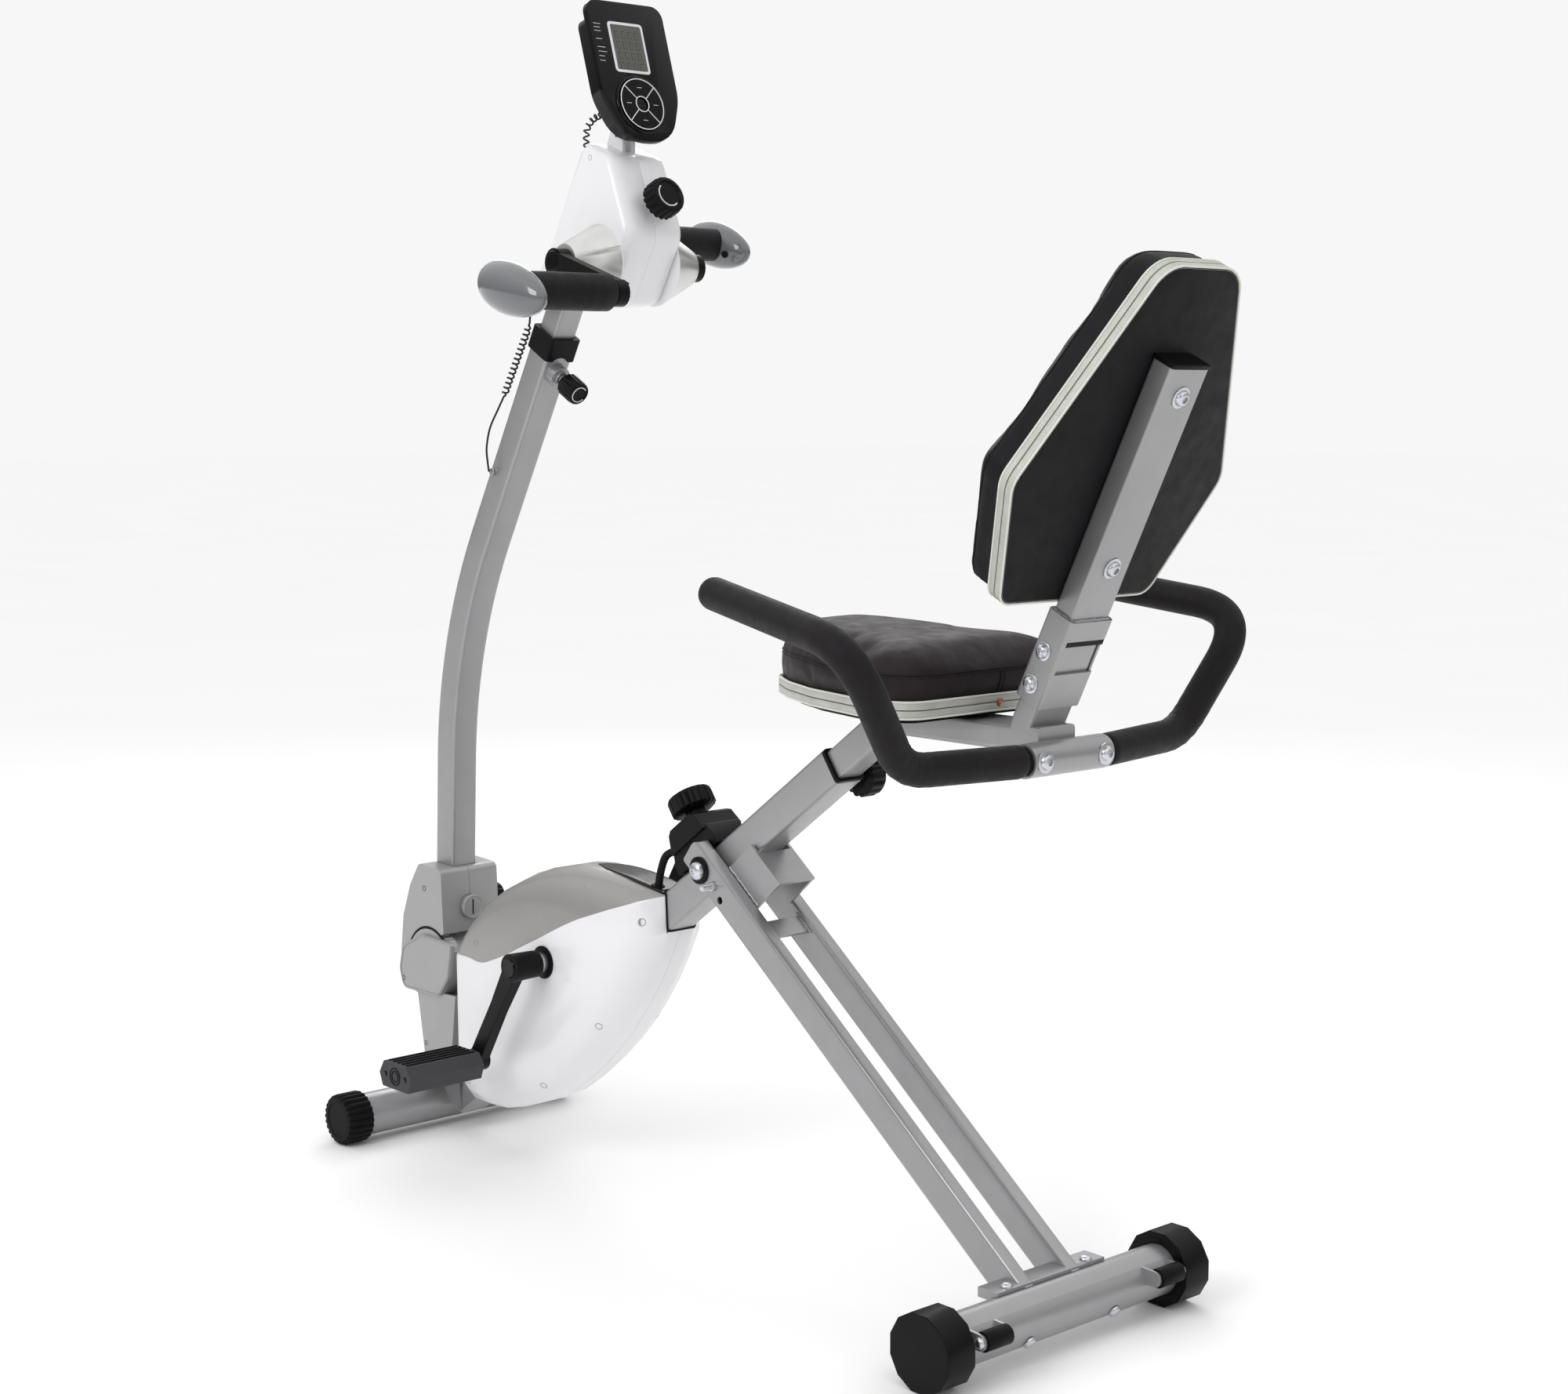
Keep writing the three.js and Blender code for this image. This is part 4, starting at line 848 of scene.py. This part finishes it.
def make_backrest():
    def spot(a, b, h):
        return BACK.at(BACK_FACE - h, a, b)
    layers = [(1.5, 0.2), (0.5, 5.0), (-0.5, 14.0), (-0.5, 26.0), (2.0, 35.0), (8.0, 41.0),
              (18.0, 44.0)]
    pad = soft_pad("backrest_pad", BACK_OUTLINE, spot, layers, 4.0)
    finish_piece(pad, "vinyl_side", "seat", 60)
    trim(pad, "backrest_cushion", "backrest", BACK_OUTLINE, spot, -9.0, 6.5, 33.0, 0.8)


# ---- Bars and grips ----
def make_bars():
    step, crease, end_round = 0.004, 0.05, 0.008
    for side, word in SIDES:
        corners = [at(430, side * 53.4, 554), at(411, side * 187, 556), at(430, side * 268, 670),
                   at(195, side * 220, 701)]
        path = resample(bezier_bends(corners, 0.050, 18), step, closed=False)
        radii = []
        for i, p in enumerate(path):
            r = 15.5 * MM
            low = (p - corners[1]).length
            if low < crease:
                r += 0.00035 * sin(i * 2.2) * (1 - low / crease)
            end = min(i, len(path) - 1 - i) * step
            if end < end_round:
                r -= 0.006 * (1 - sqrt(1 - (1 - end / end_round) ** 2))
            radii.append(r)
        bar = finish_piece(tube(f"foam_bar_{word}", path, radii, 28), "foam", "seat", 50)
        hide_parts(f"handlebar_{word}")
    for side, word in SIDES:
        x, z = arm_end(HEAD_AXLE, HEAD_ARM, side)
        foam = lathe(f"grip_foam_{word}", [(6, 112), (16.5, 112.2), (18.8, 115), (19, 130),
                     (19, 200), (18.5, 219)], at(x, 0, z), ACROSS * side, 32)
        finish_piece(foam, "foam", f"grip_{word}", 40)
        egg(f"grip_egg_{word}", x, side * 228, z, side, f"grip_{word}")
        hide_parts(f"grip_{word}")


def egg(name, x, y, z, side, body):
    """A smooth palm knob: its long axis runs fore and aft, dipping to the rear."""
    tilt = radians(14)
    long = Vector((cos(tilt), 0, -sin(tilt)))
    tall = Vector((sin(tilt), 0, cos(tilt)))
    centre = at(x - 4, y, z)
    points = []
    rows, sides = 24, 36
    for k in range(1, rows):
        a = pi * k / rows
        fat = 1.0 + 0.10 * cos(a)
        for i in range(sides):
            b = 2 * pi * i / sides
            points.append(centre + long * (54 * MM * -cos(a))
                          + tall * (26 * MM * sin(a) * cos(b) * fat)
                          + ACROSS * (18 * MM * sin(a) * sin(b) * fat))
    first = len(points)
    faces = ring_quads(rows - 1, sides)
    points += [centre - long * 54 * MM, centre + long * 54 * MM]
    for i in range(sides):
        j = (i + 1) % sides
        faces += [(first, j, i), (first + 1, first - sides + i, first - sides + j)]
    finish_piece(closed_mesh(name, points, faces), "egg", body, 60)
    pip = centre + long * 30 * MM - tall * 5 * MM - ACROSS * side * 15.6 * MM
    away = long * 0.23 - tall * 0.12 - ACROSS * side
    lathe_piece(name + "_socket", [(4, -3), (4, 0.2), (3.2, 0.4), (2.8, -0.4), (0, -0.6)], pip,
                away, "black", body, 20, "foam")


# ---- Knobs and caps ----
def ribbed_knob(name, origin, axis, r, depth, ribs, node, stem=None, dish=0.0):
    """A hand knob: rounded ribs, a rolled front edge and a shallow dished face."""
    edge = 0.16 * depth
    profile = [(0, 0), (r * 0.62, 0), (r * 0.8, 1), (r, edge), (r, depth - edge * 1.4),
               (r * 0.985, depth - edge * 0.8), (r * 0.93, depth - edge * 0.25), (r * 0.84, depth),
               (r * 0.74, depth), (r * 0.70, depth - dish), (0, depth - dish)]
    first = 3
    if stem:
        profile[:1] = [(0, -stem[1]), (stem[0], -stem[1]), (stem[0], 0)]
        first = 5
    obj = lathe(name, profile, origin, axis, ribs * 8, ribs, r * 0.085, (first, first + 2))
    finish_piece(obj, "black", node, 40)
    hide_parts(node)


def make_knobs():
    ribbed_knob("tension_dial", TUBE.at(-14, 0, 72.4), TUBE.way(0, 0, 1), 25, 22, 20,
                "tension_knob", (11, 6), 2)
    ribbed_knob("seat_pin_knob", TUBE.at(199, 27, -7), ACROSS, 22, 23, 14, "seat_knob",
                (5, 11.2), 2)
    ribbed_knob("tilt_lock_knob", at(-541, 46.8, 272), ACROSS, 17, 16, 12, "tilt_knob", (6, 6),
                1.5)
    rear = MAST_TOP.way(1, 0, 0)
    ribbed_knob("mast_pin_knob", MAST_TOP.at(38.2, 0, -40), rear, 13.5, 28, 14, "mast_knob",
                dish=1)
    lathe_piece("mast_pin_shank", [(5.2, 0), (5.2, 12), (8, 12.5), (8, 16.5), (5.5, 17),
                (5.5, 22.5)], MAST_TOP.at(15.9, 0, -40), rear, "zinc", "mast_knob")
    ring_mark("mast_pin_ring", MAST_TOP.at(66.2, 0, -40), rear, 8.8, 0.6, 40, 320, "mast_knob")
    lean = radians(68)
    out, dial = Vector((sin(lean), 0, cos(lean))), at(-148, 0, 1080)
    ribbed_knob("arm_dial", dial, out, 21, 22, 18, "head_knob", (9.5, 6), 1.5)
    ring_mark("arm_dial_mark", dial + out * 0.0207, out, 12.5, 0.9, 130, 310, "head_knob")
    for side, word in SIDES:
        profile = [(26.5, 0), (29, 1), (30, 4), (30, 28), (29.5, 31), (27.5, 33.5), (21, 34),
                   (20, 33), (0, 33)]
        cap = lathe(f"front_foot_{word}", profile, at(-555, side * 129, 30), ACROSS * side,
                    24 * 8, 24, 2.2, (1, 5))
        finish_piece(cap, "rubber", "frame", 40)
        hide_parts(f"front_cap_{word}")


def ring_mark(name, centre, axis, radius, width, start, stop, body):
    """A printed arc on a knob's face."""
    u, v, _ = basis(axis)
    angles = [radians(start + (stop - start) * k / 32) for k in range(33)]
    path = [centre + (u * cos(a) + v * sin(a)) * (radius * MM) for a in angles]
    tube_piece(name, path, width, "print", body, 6)


# ---- Fasteners and small fittings ----
def button_bolt(name, where, axis, r, body, washer=True, socket=True):
    """A button-head screw with a hex socket, on a thin washer."""
    base, h = 0.0, r * 0.62
    if washer:
        base = 1.3
        lathe_piece(name + "_washer", [(r * 1.35, 0), (r * 1.35, 1), (r * 1.25, base), (0, base)],
                    where, axis, "zinc", body, 28)
    head = [(r, base), (r, base + 0.15 * h), (r * 0.95, base + 0.45 * h),
            (r * 0.78, base + 0.8 * h), (r * 0.5, base + h)]
    if socket:
        head += [(r * 0.42, base + h), (r * 0.38, base + 0.45 * h), (0, base + 0.4 * h)]
    else:
        head.append((0, base + h * 1.04))
    lathe_piece(name, head, where, axis, "zinc", body, 24 if socket else 28)


def screw_hole(name, where, axis, r, body, look="black"):
    """A recess mouth with a screw at the bottom, seen as a shallow ring."""
    lathe_piece(name, [(r, -1.2), (r, 0.2), (r * 0.82, 0.3), (r * 0.74, -0.4), (0, -0.8)], where,
                axis, look, body, 24, "black_plastic")


def make_fittings():
    for y in (-41, 41):
        button_bolt(f"cross_bolt_{y + 41}", at(445.6, y, 554), REARWARD, 7.5, "seat")
    for s in (173, 340):
        button_bolt(f"post_bolt_{s}", BACK.at(0.1, 0, s), BACK.way(1, 0, 0), 7.5, "seat")
    for s in (47, 81):
        button_bolt(f"socket_bolt_{s}", BACK.at(-15, -28.3, s), -ACROSS, 6.5, "seat")
    strip = prism("socket_liner", [(-24, 94), (27, 94), (27, 99.8), (-24, 99.8)], BACK, "yz", 0.1,
                  2.2)
    finish_piece(strip, "black", "seat", width=0.0003)
    plug = rounded([(-25.6, -25.6, 2), (0.6, -25.6, 2), (0.6, 25.6, 2), (-25.6, 25.6, 2)], 3)
    finish_piece(prism("post_plug", plug, BACK, "xy", 366.2, 370), "black", "seat", width=0.0006)
    dome = [(5.8, -42.5), (5.8, 0.2), (9.8, 0.4), (9.8, 1.8), (8.8, 4.6), (6.2, 6.6), (3.4, 7.2),
            (3, 5.8), (0, 5.6)]
    for side, word in SIDES:
        lathe_piece(f"pivot_washer_{word}", [(14.5, 0), (14.5, 1.6), (13.5, 2.1), (0, 2.1)],
                    TUBE.at(0, side * 40.8, 0), ACROSS * side, "black", "frame")
        bolt = lathe_piece(f"pivot_bolt_{word}", dome, TUBE.at(0, side * 42.7, 0), ACROSS * side,
                           "zinc", "frame", 36)
        if side < 0:
            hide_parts("pivot_bolt")
        button_bolt(f"saddle_bolt_{word}", at(418, side * 55, 64.6), UP, 6, "legs", False, False)
        button_bolt(f"carriage_bolt_{word}", at(450.4, side * 59, 22.0), (0.81, 0, -0.58), 6.5,
                    "legs", False, False)
    for side, _ in SIDES:
        button_bolt(f"roller_nut_{144 + side * 144}", at(465, side * 139.2048, 46),
                    ACROSS * side, 5.5, "legs", False, False)


# ---- Details on the plastic parts ----
def arc_points(place, centre, radius, start, stop, plane, count):
    """Points of an arc in a Place, counted in degrees from the plane's first axis."""
    x, y, z = centre
    out = []
    for k in range(count + 1):
        a = radians(start + (stop - start) * k / count)
        p, q = radius * cos(a), radius * sin(a)
        out.append(place.at(x + p, y, z + q) if plane == "xz" else place.at(x, y + p, z + q))
    return out


def make_console():
    face, key_top = 7.0, 10.05       # millimetres ahead of the console's own plane
    y, z = -3, -37                   # centre of the key pad
    for name, edge, corner, steps, lift, look in (("screen_frame", 0, 4, 5, 0.05, "print"),
                                                  ("screen", 3, 2, 4, 0.3, "screen")):
        a, b, c, d = -27.5 + edge, 19 - edge, -2 + edge, 54 - edge
        outline = rounded([(a, c, corner), (b, c, corner), (b, d, corner), (a, d, corner)], steps)
        finish_piece(prism(name, outline, CONSOLE, "yz", face + lift, face + lift + 0.65), look,
                     "console", width=0.0002)
    bars = []
    for row in range(4):
        for col in range(4):
            a, b = -20 + 8.6 * col, 43.5 - 11.6 * row
            box = [(a, b), (a + 4.4, b), (a + 4.4, b - 7.5), (a, b - 7.5), (a, b)]
            bars.append([CONSOLE.at(face + 0.95, *corner) for corner in box])
    strokes("screen_digits", bars, 0.3, "smoke", "console", 4)
    dashes = [[CONSOLE.at(face + 0.05, a, b) for a in (-46, -46 + w)] for b, w in
              ((50, 9), (46, 8), (42, 8), (33, 8), (24, 10), (19, 11), (14, 7), (9, 7))]
    strokes("screen_labels", dashes, 0.35, "print", "console", 5)
    tube_piece("pad_rim", arc_points(CONSOLE, (face, y, z), 30.5, 0, 345, "yz", 46), 2.0, "gloss",
               "console", 10, closed=True)
    raised = (face + 2.9, y, z)
    rings = [arc_points(CONSOLE, raised, 27.8, 0, 360, "yz", 48),
             arc_points(CONSOLE, raised, 8.4, 0, 360, "yz", 30)]
    spokes = [[CONSOLE.at(face + 2.6, y + r * cos(a), z + r * sin(a))
               for r in (8.6, 27.8)] for a in (radians(45 + 90 * k) for k in range(4))]
    strokes("pad_lines", rings + spokes, 0.62, "print", "console")
    lathe_piece("pad_hub", [(7.2, -4), (7.2, 0.2), (6.4, 0.8), (3, 0.9), (2.2, 0.2), (0, 0)],
                CONSOLE.at(face + 0.35, y, z), CONSOLE.way(1, 0, 0), "gloss", "console")
    for k, word in enumerate(("top", "left", "bottom", "right")):
        a = radians(90 + 90 * k)
        mark = [CONSOLE.at(key_top, y + 18 * cos(a) + d, z + 18 * sin(a)) for d in (-3, 3)]
        strokes(f"key_mark_{word}", [mark], 0.35, "print", f"key_{word}", 5)


def make_head_details():
    screw_hole("head_screw", at(-212, -38.9, 1129), -ACROSS, 3, "head", "steel")
    screw_hole("head_screw_right", at(-212, 38.9, 1129), ACROSS, 3, "head", "steel")
    for side, word in SIDES:
        out = ACROSS * side
        button_bolt(f"console_bolt_{word}", at(-197.6, side * 8.8, 1161.9), out, 3.2, "head",
                    washer=False)
        x, z = HEAD_AXLE
        lathe_piece(f"arm_nut_{word}", [(12.5, -1), (12.5, 0.8), (11.2, 2), (6, 2.6), (0, 2.2)],
                    at(x, side * 98, z), out, "gloss", "arms", 28)
        x, z = arm_end(HEAD_AXLE, HEAD_ARM, side)
        lathe_piece(f"grip_collar_{word}", [(13.5, 0), (13.5, 3), (12.5, 3.8), (0, 3.8)],
                    at(x, side * 108, z), out, "black", "arms", 28)


HOUSING_SCREWS = [(-222, 341), (-132, 317), (-206, 189), (-308, 101), (-418, 250), (-440, 82)]


def shell_tree(word):
    return tree_of(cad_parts[f"housing_{word}"])


def make_housing_details():
    for side, word in SIDES:
        shell, out = shell_tree(word), ACROSS * side
        for k, (x, z) in enumerate(HOUSING_SCREWS):
            hit, normal, _, _ = shell.ray_cast(at(x, side * 200, z), ACROSS * -side)
            screw_hole(f"housing_screw_{word}_{k}", hit, normal, 4.4, "frame", "grey")
        x, z = CRANK_AXLE
        hub = at(x, side * 58.2, z)
        lathe_piece(f"axle_washer_{word}", [(18.5, -1), (18.5, 1.2), (16.5, 2.2), (0, 2.2)], hub,
                    out, "black", "frame", 36)
        lathe_piece(f"axle_sleeve_{word}", [(11.8, 0), (11.8, 8.5), (0, 8.5)], hub, out, "zinc",
                    "cranks", 28, "steel")
        lathe_piece(f"crank_cap_{word}", [(11.2, -1), (11.2, 0.6), (9.8, 1.6), (0, 1.4)],
                    at(x, side * 105, z), out, "gloss", "cranks", 28)
        make_pedal(side, word, *arm_end(CRANK_AXLE, CRANK_ARM, side))
    make_window()
    make_gasket()


def make_gasket():
    """Rubber round the mouth where the main tube leaves the housing."""
    shell, along = shell_tree("left"), TUBE.way(1, 0, 0)
    step, near = 0.001, 0.0022
    ring = []
    for a, b in rounded([(-19.7, -19.7, 4), (19.7, -19.7, 4), (19.7, 19.7, 4), (-19.7, 19.7, 4)],
                        4):
        p = TUBE.at(0, a, b)
        start = Vector((p.x, min(-abs(p.y), -0.001), p.z)) + along * -20
        for k in range(160):
            q = start - along.normalized() * step * k
            if shell.find_nearest(q)[3] < near:
                p = Vector((q.x, p.y, q.z))
                break
        ring.append(p)
    tube_piece("housing_gasket", ring, 1.0, "rubber", "frame", closed=True)


def make_window():
    """Smoked strip let into the top of the housing."""
    left, right = shell_tree("left"), shell_tree("right")
    rows, cols = 18, 12
    points, faces = [], []
    for i in range(rows + 1):
        t = i / rows
        half = 21 * sin(pi * min(1.0, 0.16 + 0.34 * t * 1.3)) * min(1.0, 0.25 + 3.5 * t)
        for k in range(cols + 1):
            y = half * (2 * k / cols - 1)
            probe = min(y, -0.8) if y < 0 else max(y, 0.8)
            hit, _, _, _ = (left if y < 0 else right).ray_cast(at(-256 + 136 * t, probe, 500), -UP)
            points.append(Vector((hit.x, y * MM, hit.z + 0.0007)))
    for i in range(rows):
        for k in range(cols):
            a = i * (cols + 1) + k
            faces.append((a, a + 1, a + cols + 2, a + cols + 1))
    strip = mesh_object("housing_window", points, faces)
    thicken(strip, 1.2 * MM)
    finish_piece(strip, "smoke", "frame", 60)


def make_tension_cable():
    """Short cable from the front of the tension box down into the housing."""
    hit, normal, _, _ = shell_tree("left").ray_cast(at(-139, -12, 500), -UP)
    path = smooth_path([at(-82, -9, 388), at(-104, -10, 394), at(-124, -11, 388),
                        at(-133, -12, 371), hit - UP * 0.004], 28)
    tube_piece("tension_cable", path, 4.4, "black", "frame", 12)
    lathe_piece("tension_cable_sleeve", [(7.2, -10), (7.2, 8), (6, 11), (0, 11)], path[9],
                path[11] - path[7], "black", "frame", 24)
    lathe_piece("tension_cable_grommet", [(7.8, -3), (7.8, 1.5), (6.2, 3), (0, 3)], hit, normal,
                "rubber", "frame", 24)


def make_pedal(side, word, x, z):
    """Tread bars on both faces of a pedal, with a ringed end plate."""
    body, end = f"pedal_{word}", side * 208.2
    bars = [[at(x + dx, side * y, z + face) for y in (114, 130, 150, 170, 190, 204)]
            for face in (14.9, -14.9) for dx in (-17, -8.5, 0, 8.5, 17)]
    strokes(f"pedal_tread_{word}", bars, 1.3, "rubber", body, 8)
    rings = [arc_points(WORLD, (x, end, z), r, 0, 360, "xz", 28) for r in (9.5, 6.0)]
    strokes(f"pedal_rings_{word}", rings, 0.7, "black", body, slot="rubber")
    for k, dx in enumerate((-19, 19)):
        lathe_piece(f"pedal_reflector_{word}_{k}", [(3.2, -1), (3.2, 0.4), (2.4, 0.8), (0, 0.6)],
                    at(x + dx, end, z), ACROSS * side, "gloss", body, 18, "rubber")


EAR = [(-595, 190, 14), (-588, 218, 16), (-548, 238, 30), (-483, 236, 6), (-491, 193, 20),
       (-512, 167, 14), (-588, 166, 12)]


def make_mast_base():
    for side, word in SIDES:
        rim = [at(p.x, side * 46.1, p.y) for p in inset(rounded(EAR, 6), 2.2)]
        tube_piece(f"ear_rim_{word}", rim, 1.1, "grey", "frame", closed=True)
        pivot = (-538, side * 40.2, 202)
        # painted shade: a black line laid where the gap round the tilt pivot falls into shade
        gap = arc_points(WORLD, pivot, 45.0, 40, 168, "xz", 30)
        strokes(f"hinge_gap_shade_{word}", [gap], 1.2, "black", "frame", 8)
        for name, x, y, z, r, body in (("cover", -547, 40.5, 293, 3.4, "mast"),
                                       ("ear", -586, 46.0, 178, 3.0, "frame"),
                                       ("base", -547, 41.5, 104, 3.0, "frame")):
            screw_hole(f"{name}_screw_{word}", at(x, side * y, z), ACROSS * side, r, body)
        ticks = []
        for k in range(5):
            a = radians(28 + 8 * k)
            x, z = pivot[0] + 43.2 * cos(a), pivot[2] + 43.2 * sin(a)
            ticks.append([at(x, side * y, z) for y in (26, 36)])
        strokes(f"tilt_ticks_{word}", ticks, 0.8, "print", "frame")
    boss = [(14.5, -2), (14.5, 0.6), (13.2, 1.6), (12.2, 0.9), (0, 0.9)]
    lathe_piece("cover_boss", boss, at(-504.9, 0, 272), REARWARD, "grey", "mast", 40)
    strokes("cover_boss_slot", [[at(-503.9, 0, z) for z in (281, 263)]], 0.8, "black", "mast")


def bead(name, runs, body, radius=1.6):
    """Weld beads: short wavy tubes along a joint."""
    paths = []
    for run in runs:
        line = resample(run, 0.0016, closed=False)
        paths.append([p + Vector([random.uniform(-0.00035, 0.00035) for _ in range(3)])
                      for p in line])
    strokes(name, paths, radius, "silver", body, 8)


def make_welds():
    top = [BACK.at(0.6, y, 120.4) for y in (-23, 23)]
    left = [BACK.at(x, -25.6, 120.4) for x in (-22, -3)]
    bead("socket_weld", [top, left], "seat")
    bead("cross_weld", [[BACK.at(0.8, y, 1.5) for y in (-24, 24)]], "seat", 2.0)
    bead("bracket_weld", [[LEGS.at(x, -24.6, 22.5) for x in (76, 20)]], "legs", 1.4)
    for side, word in SIDES:
        bead(f"brace_weld_{word}", [[LEGS.at(x, side * 23.8, 15.4) for x in (88, 116)]], "legs",
             1.2)


make_camera()
make_stage()
make_materials()
make_leads()
dress_cad()
make_seat()
make_backrest()
make_bars()
make_knobs()
make_fittings()
make_console()
make_head_details()
make_housing_details()
make_tension_cable()
make_mast_base()
make_welds()
